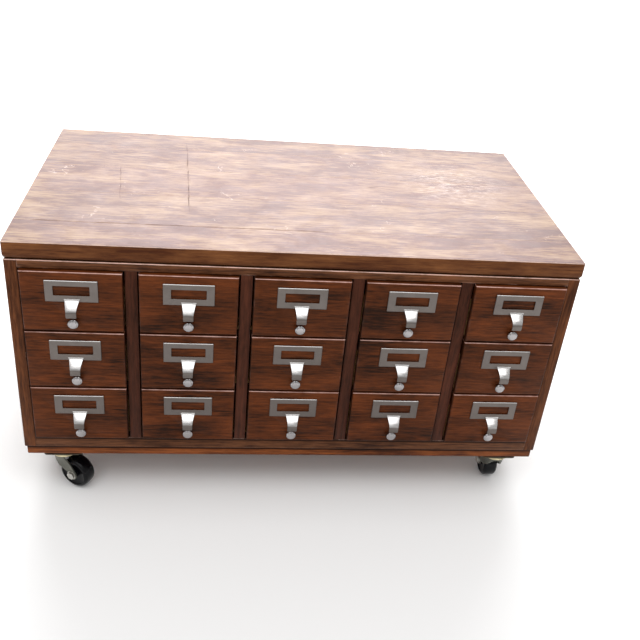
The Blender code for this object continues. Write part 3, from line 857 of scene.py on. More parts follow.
# %% [markdown]
# ## End panels
#
# The cabinet stands between two upright end panels whose front edges show full height. Each is
# a single board with its outer edges eased, and a stopped rabbet inside its back edge for the
# back panel. A block of stock is cut once for the rabbet and then softened all over.

# %% End panels
PANEL_THICKNESS = 0.018
TOP_RAIL = 0.013
BOTTOM_RAIL = 0.021
BACK_INSET = 0.004
BACK_THICKNESS = 0.006
CASE_ROUND = 0.002
CASE_ROUND_STEPS = 4
BEYOND = 0.002

case_low, case_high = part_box("carcase")
back_outside = case_high.y - BACK_INSET
back_inside = back_outside - BACK_THICKNESS
back_side = case_high.x - PANEL_THICKNESS / 2
back_foot = case_low.z + BOTTOM_RAIL / 2
back_head = case_high.z - TOP_RAIL / 2
in_front = edges_at("y", case_low.y)
at_the_back = edges_at("y", case_high.y)


def end_panel(name, side):
    """The left (-1) or right (1) end panel."""
    outer = side * case_high.x
    inner = outer - side * PANEL_THICKNESS
    low, high = sorted((outer, inner))
    panel = block(name, (low, case_low.y, case_low.z), (high, case_high.y, case_high.z))
    near, far = sorted((side * back_side, inner - side * BEYOND))
    rabbet = block("rabbet", (near, back_inside, back_foot), (far, case_high.y + BEYOND, back_head))
    shape_with(panel, rabbet, "DIFFERENCE")
    outside = edges_at("x", outer)
    round_over(
        panel,
        lambda a, b: outside(a, b) or in_front(a, b) and close_to(a.z, b.z),
        CASE_ROUND, CASE_ROUND_STEPS,
    )
    ease(panel)
    place_board(panel, end_finish, "carcase")


end_panel("left_end_panel", -1)
end_panel("right_end_panel", 1)

# %% [markdown]
# ## Rails, partitions, back and runner strips
#
# A long board closes the case above and below, and its front edge shows as a rail. Four upright
# partitions stand between them and make five columns. The thin back panel lies in the rabbets,
# and two strips in each drawer's place carry the drawer.

# %% Top and bottom of the case
inner_x = case_high.x - PANEL_THICKNESS
rail_bottom = case_high.z - TOP_RAIL
floor_top = case_low.z + BOTTOM_RAIL


def case_board(name, bottom, top, outer_z, finish):
    """The top or bottom board of the case, rabbeted for the back panel."""
    board = block(name, (-inner_x, case_low.y, bottom), (inner_x, case_high.y, top))
    foot = min(back_foot, bottom - BEYOND) if outer_z == top else back_foot
    head = back_head if outer_z == top else max(back_head, top + BEYOND)
    rabbet = block("rabbet", (-1, back_inside, foot), (1, case_high.y + BEYOND, head))
    shape_with(board, rabbet, "DIFFERENCE")
    outside = edges_at("z", outer_z)
    round_over(
        board,
        lambda a, b: outside(a, b) and (in_front(a, b) or at_the_back(a, b)),
        CASE_ROUND, CASE_ROUND_STEPS,
    )
    ease(board)
    place_board(board, finish, "carcase")


# The bottom rail gets a painted shadow line under the drawers
bottom_rail_finish = rail_wood("case_wood_bottom_rail", floor_top)
case_board("case_top", rail_bottom, case_high.z, case_high.z, rail_finish)
case_board("case_bottom", case_low.z, floor_top, case_low.z, bottom_rail_finish)

# %% Partitions
COLUMNS = 5
ROWS = 3
COLUMN_PITCH = 0.168
OPENING_WIDTH = 0.150

for index in range(1, COLUMNS):
    middle = (index - COLUMNS / 2) * COLUMN_PITCH
    low = (middle - PANEL_THICKNESS / 2, case_low.y, floor_top)
    high = (middle + PANEL_THICKNESS / 2, back_inside, rail_bottom)
    partition = block(f"partition_{index}", low, high)
    ease(partition)
    place_board(partition, upright_finish, "carcase")

# %% Back panel
back_finish = wood(
    "back_panel_wood", "z", paint(88, 58, 38), paint(128, 92, 62), paint(150, 120, 92),
    rough=0.6, coat=0.03, wear=0.35,
)
back_low = (-back_side, back_inside, back_foot)
back_panel = block("back_panel", back_low, (back_side, back_outside, back_head))
ease(back_panel)
place_board(back_panel, back_finish, "carcase")

# %% Runner strips
RUNNER_WIDTH = 0.011
RUNNER_HEIGHT = 0.006
RUNNER_SETBACK = 0.023
BODY_RISE = 0.002
SEAT_GAP = 0.0003

box_finish = wood(
    "drawer_box_wood", "y", paint(150, 112, 72), paint(196, 160, 112), paint(206, 178, 138),
    rough=0.58, coat=0.02, wear=0.4,
)
for column in range(COLUMNS):
    strips = []
    for row in range(ROWS):
        drawer_low, drawer_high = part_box(f"drawer_r{row + 1}_c{column + 1}")
        middle = (drawer_low.x + drawer_high.x) / 2
        top = drawer_low.z + BODY_RISE - SEAT_GAP
        front = drawer_low.y + RUNNER_SETBACK
        for side in (-1, 1):
            wall = middle + side * OPENING_WIDTH / 2
            near, far = sorted((wall, wall - side * RUNNER_WIDTH))
            low = (near, front, top - RUNNER_HEIGHT)
            strips.append(block("strip", low, (far, back_inside, top)))
    runners = join(f"runner_strips_c{column + 1}", strips)
    ease(runners)
    place_board(runners, box_finish, "carcase")

# %% [markdown]
# ## Top board
#
# The top is glued up from boards laid side by side. A fine groove shows where two of them
# meet, and the tone changes a little across it. One block is cut along each glue line, the cut
# is pressed in a little, and each strip gets a board number of its own. The lower edge is
# rounded well under and the upper edge is left nearly square. The rim keeps more stain than the
# face, so it has its own finish.

# %% Top board
GLUE_LINES = (-0.147, -0.038, 0.071, 0.168)
TOP_UNDER_ROUND = 0.008
TOP_UPPER_ROUND = 0.0014
TOP_CORNER_ROUND = 0.003
GLUE_GROOVE = 0.0005
# How far up a face has to look to belong to the upper side
RISING = 0.25

top_low, top_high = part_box("top_board")
top_board = block("top_board_glued", top_low, top_high)
for line in GLUE_LINES:
    for place in (line - GLUE_GROOVE, line, line + GLUE_GROOVE):
        saw(top_board, (0, place, 0), (0, 1, 0))
    pick(top_board, "points", lambda p: close_to(p.y, line) and close_to(p.z, top_high.z))
    bpy.ops.transform.translate(value=(0, 0, -GLUE_GROOVE))
    put_down()


def on_rim(a, b, height):
    """True for an edge that runs round the outside at one height."""
    level = abs(a.z - height) < 2 * GLUE_GROOVE and abs(b.z - height) < 2 * GLUE_GROOVE
    rim_x = top_high.x - TOP_CORNER_ROUND - SAME_PLACE
    beside = min(abs(a.x), abs(b.x)) > rim_x
    before = max(a.y, b.y) < top_low.y + TOP_CORNER_ROUND + SAME_PLACE
    behind = min(a.y, b.y) > top_high.y - TOP_CORNER_ROUND - SAME_PLACE
    return level and (beside and a.x * b.x > 0 or before or behind)


round_over(
    top_board,
    lambda a, b: close_to(a.x, b.x) and close_to(a.y, b.y) and abs(a.x) > top_high.x - SAME_PLACE
    and (close_to(a.y, top_low.y) or close_to(a.y, top_high.y)),
    TOP_CORNER_ROUND, 4,
)
round_over(top_board, lambda a, b: on_rim(a, b, top_low.z), TOP_UNDER_ROUND, 8)
round_over(top_board, lambda a, b: on_rim(a, b, top_high.z), TOP_UPPER_ROUND, 4)
smooth(top_board, 20)
place_board(top_board, top_finish, "top_board")
numbers = []
for face in top_board.data.polygons:
    strip = sum(face.center.y > line for line in GLUE_LINES)
    numbers.append((strip + 1) * GOLDEN_STEP % 1)
top_board.data.attributes["board"].data.foreach_set("value", numbers)
top_board.data.materials.append(top_rim_finish)
for face in top_board.data.polygons:
    face.material_index = 0 if face.normal.z > RISING else 1
print(len(GLUE_LINES) + 1, "strips in the top board")

# %% [markdown]
# ## Base board
#
# A thin board a little smaller than the case hangs under it and carries the casters. Its lower
# edge is eased.

# %% Base board
BASE_ROUND = 0.004

base_low, base_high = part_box("base_board")
base = block("base_board_eased", base_low, base_high)
round_over(base, edges_at("z", base_low.z), BASE_ROUND, 5)
ease(base)
place_board(base, base_finish, "base_board")

# %% [markdown]
# ## Drawer
#
# A stained front is glued to a plain box of unfinished wood: two sides let into rabbets behind
# the front, a floor and a lower back. One drawer is made in its own place, then copied to the
# other fourteen. The rod's bore goes through the front and the back.

# %% Sizes of a drawer
FRONT_THICKNESS = 0.020
FRONT_HEIGHT = 0.1005
FRONT_ROUND = 0.0025
BODY_SETBACK = 0.0005
SIDE_HEIGHT = 0.070
SIDE_THICKNESS = 0.008
FLOOR_RISE = 0.003
FLOOR_THICKNESS = 0.004
BACK_BOARD = 0.010
BACK_DROP = 0.008
ROD_HEIGHT = 0.0162
BORE_RADIUS = 0.0034

first_low, first_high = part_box("drawer_r1_c1")
first_middle = (first_low.x + first_high.x) / 2
front_back = first_low.y + FRONT_THICKNESS
half_body = (first_high.x - first_low.x) / 2 - BODY_SETBACK
side_inside = half_body - SIDE_THICKNESS
body_bottom = first_low.z + BODY_RISE
side_top = body_bottom + SIDE_HEIGHT
bore_place = Vector((first_middle, (first_low.y + first_high.y) / 2, first_low.z + ROD_HEIGHT))
bore_length = first_high.y - first_low.y + 2 * BEYOND


def wall_span(side, reach):
    """From the inner face of the left (-1) or right (1) wall out to a reach."""
    return sorted((first_middle + side * side_inside, first_middle + side * reach))


def bore(piece):
    """Drills the hole for the card rod."""
    drill = rod_stock("bore", bore_place, BORE_RADIUS, bore_length, "y", 20)
    shape_with(piece, drill, "DIFFERENCE")


print("drawer is", round(MILLIMETRES * (first_high.y - first_low.y), 1), "mm long")

# %% Drawer front
front_high = (first_high.x, front_back, first_low.z + FRONT_HEIGHT)
front_master = block("drawer_front", first_low, front_high)
seat_front = front_back - FRONT_THICKNESS / 2
for side in (-1, 1):
    near, far = wall_span(side, half_body + BEYOND)
    seat = block("seat", (near, seat_front, body_bottom), (far, front_back + BEYOND, side_top))
    shape_with(front_master, seat, "DIFFERENCE")
round_over(front_master, edges_at("y", first_low.y), FRONT_ROUND, 4)
bore(front_master)
soften(front_master, ARRIS)
complete(front_master, front_finish)

# %% Drawer box
back_front = first_high.y - BACK_BOARD
back_top = side_top - BACK_DROP
box_parts = []
for side in (-1, 1):
    near, far = wall_span(side, half_body)
    wall = block("side", (near, seat_front, body_bottom), (far, first_high.y, side_top))
    notch = block(
        "notch", (near - BEYOND, back_front, back_top),
        (far + BEYOND, first_high.y + BEYOND, side_top + BEYOND),
    )
    shape_with(wall, notch, "DIFFERENCE")
    box_parts.append(wall)
left_inside = first_middle - side_inside
right_inside = first_middle + side_inside
floor_bottom = body_bottom + FLOOR_RISE
box_parts.append(block(
    "floor", (left_inside, front_back, floor_bottom),
    (right_inside, back_front, floor_bottom + FLOOR_THICKNESS),
))
box_master = join("drawer_box", box_parts)
soften(box_master, ARRIS)
complete(box_master, box_finish)

# %% Drawer back
back_board_finish = wood(
    "drawer_back_wood", "x", paint(146, 108, 70), paint(190, 154, 108), paint(200, 172, 132),
    rough=0.58, coat=0.02, wear=0.4,
)
back_master = block(
    "drawer_back", (left_inside, back_front, body_bottom), (right_inside, first_high.y, back_top)
)
bore(back_master)
soften(back_master, ARRIS)
complete(back_master, back_board_finish)

# %% [markdown]
# ## Label pull
#
# The pull is one pressing of thin plated steel: a flat frame with turned-back edges and a
# window for the label, and below the window a tongue that runs out and curls down for a
# finger. The frame is cut from a block. The tongue is a strip that is bent outwards, drawn on
# straight and curled down again, widened where it leaves the frame, and thickened at the end.

# %% Metal finishes
HIGHLIGHT_REACH = 0.0015
HIGHLIGHT_START = 0.0002
PULL_STANDOFF = 0.0022
METAL_EDGE = 0.0012
METAL_RELIEF = 0.00004
SCRATCH_STRENGTH = 0.4
SCRATCH_DENSITY = 900.0
SPECK_SHARE = 0.5
# How far up a face looks where the painted highlight starts and is full: at the tongue's bend, and
# on its lip and other upward faces
HIGHLIGHT_BEND = (0.04, 0.12)
HIGHLIGHT_LIP = (0.26, 0.44)
HIGHLIGHT_GLOSS = -0.08


def metal(name, colour, dull, rough, spread, brushed=(1, 1, 1), grime=0.3, painted_highlight=None):
    """Plated metal with fine scratches, smears and grime.

    The last argument gives a pale colour and a Y: the colour is painted as a highlight on faces
    that look up, and on the tongue's bend in front of that Y, where light from above is mirrored.
    """
    made, tree, shader = new_finish(name)
    place = node(tree, "TexCoord").outputs["Object"]
    marks = use_group(tree, mark_group, Vector=place)
    edges = use_group(tree, wear_and_light_group, Vector=place, Radius=METAL_EDGE, Break_Up=0.45)
    scratches = noise(tree, stretch(tree, place, brushed), SCRATCH_DENSITY, 3.0, 0.6)
    shown = cover(tree, colour, dull, marks["Smears"], grime)
    shown = cover(tree, shown, dull, marks["Specks"], SPECK_SHARE)
    bright = 0.0
    # Painted highlight: a pale colour on faces that look up and on the tongue's bend
    if painted_highlight:
        bright_colour, start = painted_highlight
        rise = axes_of(tree, node(tree, "TexCoord").outputs["Normal"])["Z"]
        forward = axes_of(tree, place)["Y"]
        ahead = between(tree, forward, start - 2 * HIGHLIGHT_REACH, start - HIGHLIGHT_REACH)
        bend = times(tree, ahead, between(tree, rise, *HIGHLIGHT_BEND))
        bright = reckon(tree, "MAXIMUM", bend, between(tree, rise, *HIGHLIGHT_LIP))
        shown = blend(tree, bright, shown, bright_colour)
    gloss = weighed(
        tree, rough, (bright, HIGHLIGHT_GLOSS), (marks["Smears"], spread), (scratches, spread),
        (edges["Wear"], -0.5 * spread),
    )
    feed(tree, shader, {
        "Base Color": shown, "Roughness": gloss, "Metallic": 1.0,
        "Normal": carve(tree, scratches, SCRATCH_STRENGTH, METAL_RELIEF),
    })
    return made


# The pull's pale colour is a painted highlight on its upward faces and its tongue
pull_finish = metal(
    "satin_nickel", paint(114, 107, 103), paint(82, 77, 73), 0.26, 0.10, (0.06, 1, 1),
    painted_highlight=(paint(206, 204, 203), first_low.y - PULL_STANDOFF - HIGHLIGHT_START),
)
knob_finish = metal(
    "polished_nickel", paint(170, 167, 168), paint(112, 106, 104), 0.11, 0.08, (1, 0.1, 1)
)
print("two nickel finishes")

# %% Label pull
PULL_SHEET = 0.0010
PULL_LIP = 0.0022
PULL_HALF_HEIGHT = 0.01765
WINDOW_HALF_WIDTH = 0.026
WINDOW_TOP_BORDER = 0.0088
WINDOW_BOTTOM_BORDER = 0.0107
TONGUE_HALF_WIDTH = 0.0076
TONGUE_THICKNESS = 0.0014
PULL_CORNER = 0.0011
PULL_FACE_ROUND = 0.0009
WINDOW_CORNER = 0.0009

pull_low, pull_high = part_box("label_pull_r1_c1")
pull_face = first_low.y - PULL_STANDOFF
behind = first_low.y + BEYOND
frame_low = Vector((pull_low.x, pull_face, pull_high.z - 2 * PULL_HALF_HEIGHT))
pull_master = block("label_pull", frame_low, (pull_high.x, first_low.y - SEAT_GAP, pull_high.z))
round_over(pull_master, edges_along("y"), PULL_CORNER, 3)
round_over(pull_master, edges_at("y", pull_face), PULL_FACE_ROUND, 4)
pocket = block(
    "pocket", (pull_low.x + PULL_LIP, pull_face + PULL_SHEET, frame_low.z + PULL_LIP),
    (pull_high.x - PULL_LIP, behind, pull_high.z + BEYOND),
)
shape_with(pull_master, pocket, "DIFFERENCE")
window_foot = frame_low.z + WINDOW_BOTTOM_BORDER
window = block(
    "window", (first_middle - WINDOW_HALF_WIDTH, pull_face - BEYOND, window_foot),
    (first_middle + WINDOW_HALF_WIDTH, behind, pull_high.z - WINDOW_TOP_BORDER),
)
round_over(window, edges_along("y"), WINDOW_CORNER, 3)
shape_with(pull_master, window, "DIFFERENCE")
tell(pull_master)

# %% Tongue bent from a strip
TONGUE_RISE = 0.0050
BEND_RADIUS = 0.0040
SLOPE = math.radians(60)
SLANT = 0.00635
CURL_RADIUS = 0.0140
TURN_IN = math.radians(10)
LIP_LENGTH = 0.0034
SIDE_STRIPS = 3
BEND_STEPS = 5
CURL_STEPS = 12


def face_way(slope):
    """The way the tongue's outer face looks where it slopes out by an angle."""
    return Vector((0, -math.cos(slope), math.sin(slope)))


def run_way(slope):
    """The way the tongue runs where it slopes out by an angle."""
    return Vector((0, -math.sin(slope), -math.cos(slope)))


def curl_round(steps, angle, centre):
    """Spins the end of the strip round a line that runs along X."""
    bpy.ops.mesh.spin(steps=steps, angle=angle, axis=(1, 0, 0), center=centre)


tongue_root = Vector((first_middle, pull_face + PULL_SHEET / 2, frame_low.z + TONGUE_RISE))
bend_end = tongue_root + BEND_RADIUS * (face_way(0) - face_way(SLOPE))
slant_end = bend_end + SLANT * run_way(SLOPE)
bpy.ops.mesh.primitive_plane_add(size=2 * TONGUE_HALF_WIDTH, location=tongue_root)
tongue = claim("tongue")
pick(tongue, "points", lambda p: p.y > tongue_root.y)
bpy.ops.mesh.delete(type="VERT")
put_down()
pick(tongue, "points", lambda p: True)
bpy.ops.transform.translate(value=(0, TONGUE_HALF_WIDTH, 0))
bpy.ops.mesh.subdivide(number_cuts=2 * SIDE_STRIPS - 1)
bpy.ops.mesh.select_all(action="SELECT")
curl_round(BEND_STEPS, SLOPE, tongue_root + BEND_RADIUS * face_way(0))
for step in range(2):
    draw_out(SLANT / 2 * run_way(SLOPE))
curl_round(CURL_STEPS, -(SLOPE + TURN_IN), slant_end - CURL_RADIUS * face_way(SLOPE))
draw_out(LIP_LENGTH * run_way(-TURN_IN))
put_down()
tell(tongue)

# %% Tongue flared, thickened and joined to its frame
TONGUE_FLARE = 0.0042
FLARE_DROP = 0.016
TONGUE_HOLLOW = 0.0010
HOLLOW_DROP = 0.006
LIP_CORNER = 0.0022
SHORT_STEP = 0.0005
TONGUE_SOFTENING = 0.0005

for height in sorted({round(point.co.z, 6) for point in tongue.data.vertices}):
    drop = tongue_root.z - height
    flare = TONGUE_FLARE * max(0, 1 - drop / FLARE_DROP) ** 2
    hollow = TONGUE_HOLLOW * min(1, drop / HOLLOW_DROP)
    wider = (1 + flare / TONGUE_HALF_WIDTH, 1, 1)
    for strip in range(1, SIDE_STRIPS + 1):
        share = strip / SIDE_STRIPS
        aside = share * TONGUE_HALF_WIDTH
        pick(
            tongue, "points",
            lambda p: close_to(p.z, height) and close_to(abs(p.x - tongue_root.x), aside),
        )
        bpy.ops.transform.translate(value=-hollow * share ** 2 * face_way(SLOPE))
        bpy.ops.transform.resize(value=wider, center_override=tongue_root)
        put_down()
fit(tongue, "SOLIDIFY", thickness=TONGUE_THICKNESS, offset=0)
tip = min(point.co.z for point in tongue.data.vertices)
outer_side = TONGUE_HALF_WIDTH - SHORT_STEP
round_over(
    tongue,
    lambda a, b: abs(a.x - b.x) < SHORT_STEP and max(a.z, b.z) < tip + TONGUE_THICKNESS
    and min(abs(a.x - tongue_root.x), abs(b.x - tongue_root.x)) > outer_side,
    LIP_CORNER, 5,
)
soften(tongue, TONGUE_SOFTENING, 3, 60)
shape_with(pull_master, tongue, "UNION")
smooth(pull_master, 40)
fit(pull_master, "WEIGHTED_NORMAL", keep_sharp=True, weight=100)
pull_master.data.materials.append(pull_finish)
tell(pull_master)

# %% [markdown]
# ## Card rod
#
# A long plated rod runs through the front, along the floor and into the back, and holds the
# punched cards. Its knob is turned with a flat face, a rounded rim and a small collar. Round
# work is made as on a lathe: the outline is drawn point by point and spun once round.

# %% Lathe work
def in_metres(outline, start=0.0, way=1):
    """An outline given in millimetres as points in metres, measured on from a start."""
    return [(first / MILLIMETRES, way * (start + second / MILLIMETRES)) for first, second in outline]


def draw_line(name, points):
    """A chain of points, drawn one after another, left open in edit mode."""
    bpy.ops.mesh.primitive_plane_add(size=PULL_SHEET)
    piece = claim(name)
    bpy.context.tool_settings.mesh_select_mode = SELECT_MODES["points"]
    bpy.ops.object.mode_set(mode="EDIT")
    bpy.ops.mesh.select_all(action="SELECT")
    bpy.ops.mesh.merge(type="CENTER")
    bpy.ops.transform.translate(value=points[0])
    for start, end in zip(points, points[1:]):
        step = Vector(end) - Vector(start)
        bpy.ops.mesh.extrude_vertices_move(TRANSFORM_OT_translate={"value": step})
    bpy.ops.mesh.select_all(action="SELECT")
    return piece


def lathe(name, profile, axis, sides):
    """Round work along Y or Z, from points given as (radius, place along the axis)."""
    along_y = axis == "y"
    points = [(radius, place, 0) if along_y else (radius, 0, place) for radius, place in profile]
    piece = draw_line(name, points)
    spindle = (0, 1, 0) if along_y else (0, 0, 1)
    bpy.ops.mesh.spin(steps=sides, angle=2 * math.pi, axis=spindle, center=(0, 0, 0))
    bpy.ops.mesh.select_all(action="SELECT")
    bpy.ops.mesh.remove_doubles(threshold=SAME_PLACE / 2)
    bpy.ops.mesh.normals_make_consistent(inside=False)
    put_down()
    return piece


# %% Rod and knob
ROD_RADIUS = 0.003
ROD_CHAMFER = 0.0006
# Radius and distance in front of the drawer, in millimetres
KNOB_OUTLINE = (
    (0, 8.5), (4.8, 8.5), (5.5, 8.3), (5.9, 7.8), (6.6, 7.6), (7.4, 7.1), (7.9, 6.3), (8.0, 5.4),
    (7.9, 4.5), (7.3, 3.7), (6.2, 3.1), (5.8, 2.4), (5.8, 0.6), (5.5, 0.3), (3.0, 0.3),
)

rod_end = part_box("card_rod_r1_c1")[1].y - first_low.y
profile = in_metres(KNOB_OUTLINE, way=-1)
profile += [(ROD_RADIUS, rod_end - ROD_CHAMFER), (ROD_RADIUS - ROD_CHAMFER, rod_end), (0.0, rod_end)]
rod_master = lathe("card_rod", profile, "y", 36)
rod_master.location = (first_middle, first_low.y, first_low.z + ROD_HEIGHT)
settle(rod_master)
complete(rod_master, knob_finish, 30)

# %% [markdown]
# ## Fifteen drawers
#
# Each drawer takes copies of the front, box, back, pull and rod, moved inside their meshes.
# The wooden ones get a new board number, so no two fronts have the same grain. The pull rides
# with its drawer, and the rod has a body of its own because it can be drawn out.

# %% Copies for every drawer
DRAWER_PARTS = (
    (front_master, "front", "drawer", "drawer", "drawer_wood"),
    (box_master, "box", "drawer", "drawer", "drawer_wood"),
    (back_master, "back", "drawer", "drawer", "drawer_wood"),
    (pull_master, "pull", "label_pull", "drawer", "pull_metal"),
    (rod_master, "rod", "card_rod", "card_rod", "rod_metal"),
)

for row in range(ROWS):
    for column in range(COLUMNS):
        where = f"r{row + 1}_c{column + 1}"
        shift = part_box(f"drawer_{where}")[0] - first_low
        for master, short, stands_for, body, slot_name in DRAWER_PARTS:
            piece = repeat(master, f"{short}_{where}", shift)
            if slot_name == "drawer_wood":
                number_board(piece)
            assign(piece, f"{body}_{where}", f"{stands_for}_{where}")
for drawer_part in DRAWER_PARTS:
    bpy.data.objects.remove(drawer_part[0])
print(ROWS * COLUMNS, "drawers of", len(DRAWER_PARTS), "pieces each")

# %% [markdown]
# ## Casters
#
# Each caster has a screwed-on plate with a rolled race, a pressed fork that turns under it on
# a king pin, and a hard black wheel on a bolt. One caster is made round the origin with the
# king pin upright and the wheel trailing towards +X. Copies are then turned and moved to
# where each one stands.

# %% Caster finishes
RUBBER_SHINE = 0.18
RUBBER_ROUGHNESS = 0.10
RUBBER_RELIEF = 0.0001
SCUFF_STRENGTH = 0.25
SCUFF_DENSITY = 260.0
SCUFFED = (0.62, 0.80)
TYRE_BLACK = paint(5, 5, 8)
SCUFF_GREY = paint(30, 30, 34)
EDGE_GREY = paint(58, 58, 62)
DUST = paint(70, 68, 66)

plate_finish = metal("yellow_zinc", paint(226, 216, 180), paint(160, 142, 98), 0.24, 0.14, grime=0.5)
dull_plate_finish = metal("dull_zinc", paint(96, 90, 78), paint(58, 52, 44), 0.45, 0.14, grime=0.7)
fork_finish = metal(
    "grey_zinc", paint(124, 124, 116), paint(84, 84, 76), 0.38, 0.14, (1, 1, 0.3), grime=0.7
)
bolt_finish = metal("bright_zinc", paint(196, 194, 188), paint(130, 126, 116), 0.22, 0.12)


def hard_rubber(name):
    """Glossy black with scuffs round the tread."""
    made, tree, shader = new_finish(name)
    place = node(tree, "TexCoord").outputs["Object"]
    marks = use_group(tree, mark_group, Vector=place)
    edges = use_group(tree, wear_and_light_group, Vector=place, Radius=0.002, Break_Up=0.5)
    scuffs = noise(tree, place, SCUFF_DENSITY, 4.0, 0.7)
    shown = blend(tree, between(tree, scuffs, *SCUFFED), TYRE_BLACK, SCUFF_GREY)
    shown = cover(tree, shown, EDGE_GREY, edges["Wear"], 0.5)
    shown = blend(tree, marks["Specks"], shown, DUST)
    gloss = weighed(tree, RUBBER_ROUGHNESS, (marks["Smears"], 0.12), (scuffs, 0.08))
    feed(tree, shader, {
        "Base Color": shown, "Roughness": gloss, "Specular IOR Level": RUBBER_SHINE,
        "Normal": carve(tree, scuffs, SCUFF_STRENGTH, RUBBER_RELIEF),
    })
    return made


wheel_finish = hard_rubber("hard_black_tyre")
print("five caster finishes")

# %% Plate, race and screws
PLATE_HALF_LENGTH = 0.030
PLATE_HALF_WIDTH = 0.0265
PLATE_THICKNESS = 0.0025
PLATE_CORNER = 0.006
PLATE_EASE = 0.0004
PIN_HOLE_RADIUS = 0.0049
# Radius and height of each point, in millimetres
RACE_OUTLINE = (
    (4.9, -2.0), (21.2, -2.0), (21.7, -3.2), (23.6, -4.0), (25.4, -4.8), (26.2, -5.6), (26.2, -6.4),
    (25.5, -7.1), (4.9, -7.1),
)
SCREW_OUTLINE = ((0, -4.7), (1.6, -4.6), (2.9, -4.1), (3.7, -3.3), (3.8, -2.4), (0, -2.4))
SCREW_X = 0.0246
SCREW_Y = 0.0212
# Radians of turn for each metre of a screw's place, so that no two screws stand alike
SCREW_TURNS = (40, 90)
RECESS_LOW = (-0.0021, -0.0004, -0.006)
RECESS_HIGH = (0.0021, 0.0004, -0.0037)
RECESS_TURN = math.radians(20)

plate_master = block(
    "caster_plate", (-PLATE_HALF_LENGTH, -PLATE_HALF_WIDTH, -PLATE_THICKNESS),
    (PLATE_HALF_LENGTH, PLATE_HALF_WIDTH, 0),
)
round_over(plate_master, edges_along("z"), PLATE_CORNER, 6)
pin_hole = rod_stock("pin_hole", (0, 0, 0), PIN_HOLE_RADIUS, 4 * PIN_HOLE_RADIUS, "z", 32)
shape_with(plate_master, pin_hole, "DIFFERENCE")
soften(plate_master, PLATE_EASE)
plate_master.data.materials.append(dull_plate_finish)
screw = lathe("screw", in_metres(SCREW_OUTLINE), "z", 20)
for turn in (0, math.pi / 2):
    recess = block("recess", RECESS_LOW, RECESS_HIGH)
    recess.rotation_euler.z = turn + RECESS_TURN
    settle(recess)
    shape_with(screw, recess, "DIFFERENCE")
screw.data.materials.append(bolt_finish)
screws = []
for x in (SCREW_X, -SCREW_X):
    for y in (SCREW_Y, -SCREW_Y):
        turn = x * SCREW_TURNS[0] + y * SCREW_TURNS[1]
        screws.append(repeat(screw, "screw", (x, y, 0), turn))
bpy.data.objects.remove(screw)
race = lathe("race", in_metres(RACE_OUTLINE + RACE_OUTLINE[:1]), "z", 40)
race.data.materials.append(plate_finish)
plate_master = join("caster_plate", [plate_master, race] + screws)
smooth(plate_master, 30)
tell(plate_master)

# %% [markdown]
# ### Fork
#
# The fork is pressed from one sheet: a skirt round the king pin, low in front so that the wheel
# shows under it, that runs back into two legs. It starts as an open tube. Rings are cut round it
# and scaled to draw it in, the back half is cut away, the open edges are drawn back to make the
# legs, and the sheet gets its thickness. An outline seen from the side then crops it.

# %% Fork skirt
LEG_OUTSIDE = 0.0154
SHEET = 0.0024
AXLE_DROP = 0.048
TRAIL = 0.0225
LEG_END_RADIUS = 0.0095
LEG_START = -0.0400
LEG_REACH = 0.036
SKIRT_FOOT = -0.0590
SKIRT_FOOT_REACH = 0.0108
SKIRT_TOP = -0.0094
# Height of each ring, its reach forwards and its half width
SKIRT_RINGS = (
    (SKIRT_TOP, 0.0208, 0.0205), (-0.0150, 0.0208, 0.0196), (-0.0200, 0.0207, 0.0178),
    (-0.0270, 0.0200, 0.0162), (-0.0345, 0.0186, 0.0156), (LEG_START, 0.0158, LEG_OUTSIDE),
)

bpy.ops.mesh.primitive_cylinder_add(
    vertices=40, radius=LEG_OUTSIDE, depth=SKIRT_TOP - SKIRT_FOOT,
    location=(0, 0, (SKIRT_TOP + SKIRT_FOOT) / 2), end_fill_type="NOTHING",
)
skirt = claim("fork_skirt")
for ring in SKIRT_RINGS[1:]:
    saw(skirt, (0, 0, ring[0]), (0, 0, 1))
for height, reach, half_width in (*SKIRT_RINGS, (SKIRT_FOOT, SKIRT_FOOT_REACH, LEG_OUTSIDE)):
    pick(skirt, "points", lambda p: close_to(p.z, height))
    scale = (reach / LEG_OUTSIDE, half_width / LEG_OUTSIDE, 1)
    bpy.ops.transform.resize(value=scale, center_override=(0, 0, height))
    put_down()
saw(skirt, (0, 0, 0), (1, 0, 0), clear_outer=True)
pick(skirt, "edges", edges_at("x", 0))
draw_out((LEG_REACH, 0, 0))
put_down()
fit(skirt, "SOLIDIFY", thickness=SHEET, offset=-1, use_even_offset=True)
tell(skirt)

# %% Fork cropped to its side outline
LEG_TOP_REACH = 0.0110
FORK_SOFTENING = 0.0006
OUTLINE_TOP = -0.0090
# The round end of a leg, as its first angle and its turn in degrees
LEG_END_ARC = (160, 220)
LEG_END_STEPS = 14
CROP_HALF_WIDTH = 0.03
# The front edge of the skirt as seen from the side, as (place, height) in millimetres
FRONT_EDGE = (
    (-30, -9), (-30, -13.5), (-19, -15), (-17, -19), (-14, -25.5), (-9.5, -31.2), (-4.5, -35.6),
    (1, -39.2),
)

outline = in_metres(FRONT_EDGE)
for step in range(LEG_END_STEPS + 1):
    angle = math.radians(LEG_END_ARC[0] + LEG_END_ARC[1] * step / LEG_END_STEPS)
    height = -AXLE_DROP + LEG_END_RADIUS * math.sin(angle)
    outline.append((TRAIL + LEG_END_RADIUS * math.cos(angle), height))
outline.append((LEG_TOP_REACH, OUTLINE_TOP))
side_view = draw_line("side_view", [(x, -CROP_HALF_WIDTH, z) for x, z in outline])
bpy.ops.mesh.edge_face_add()
draw_out((0, 2 * CROP_HALF_WIDTH, 0))
bpy.ops.mesh.select_all(action="SELECT")
bpy.ops.mesh.normals_make_consistent(inside=False)
put_down()
shape_with(skirt, side_view, "INTERSECT")
soften(skirt, FORK_SOFTENING, 3, 55)
tell(skirt)

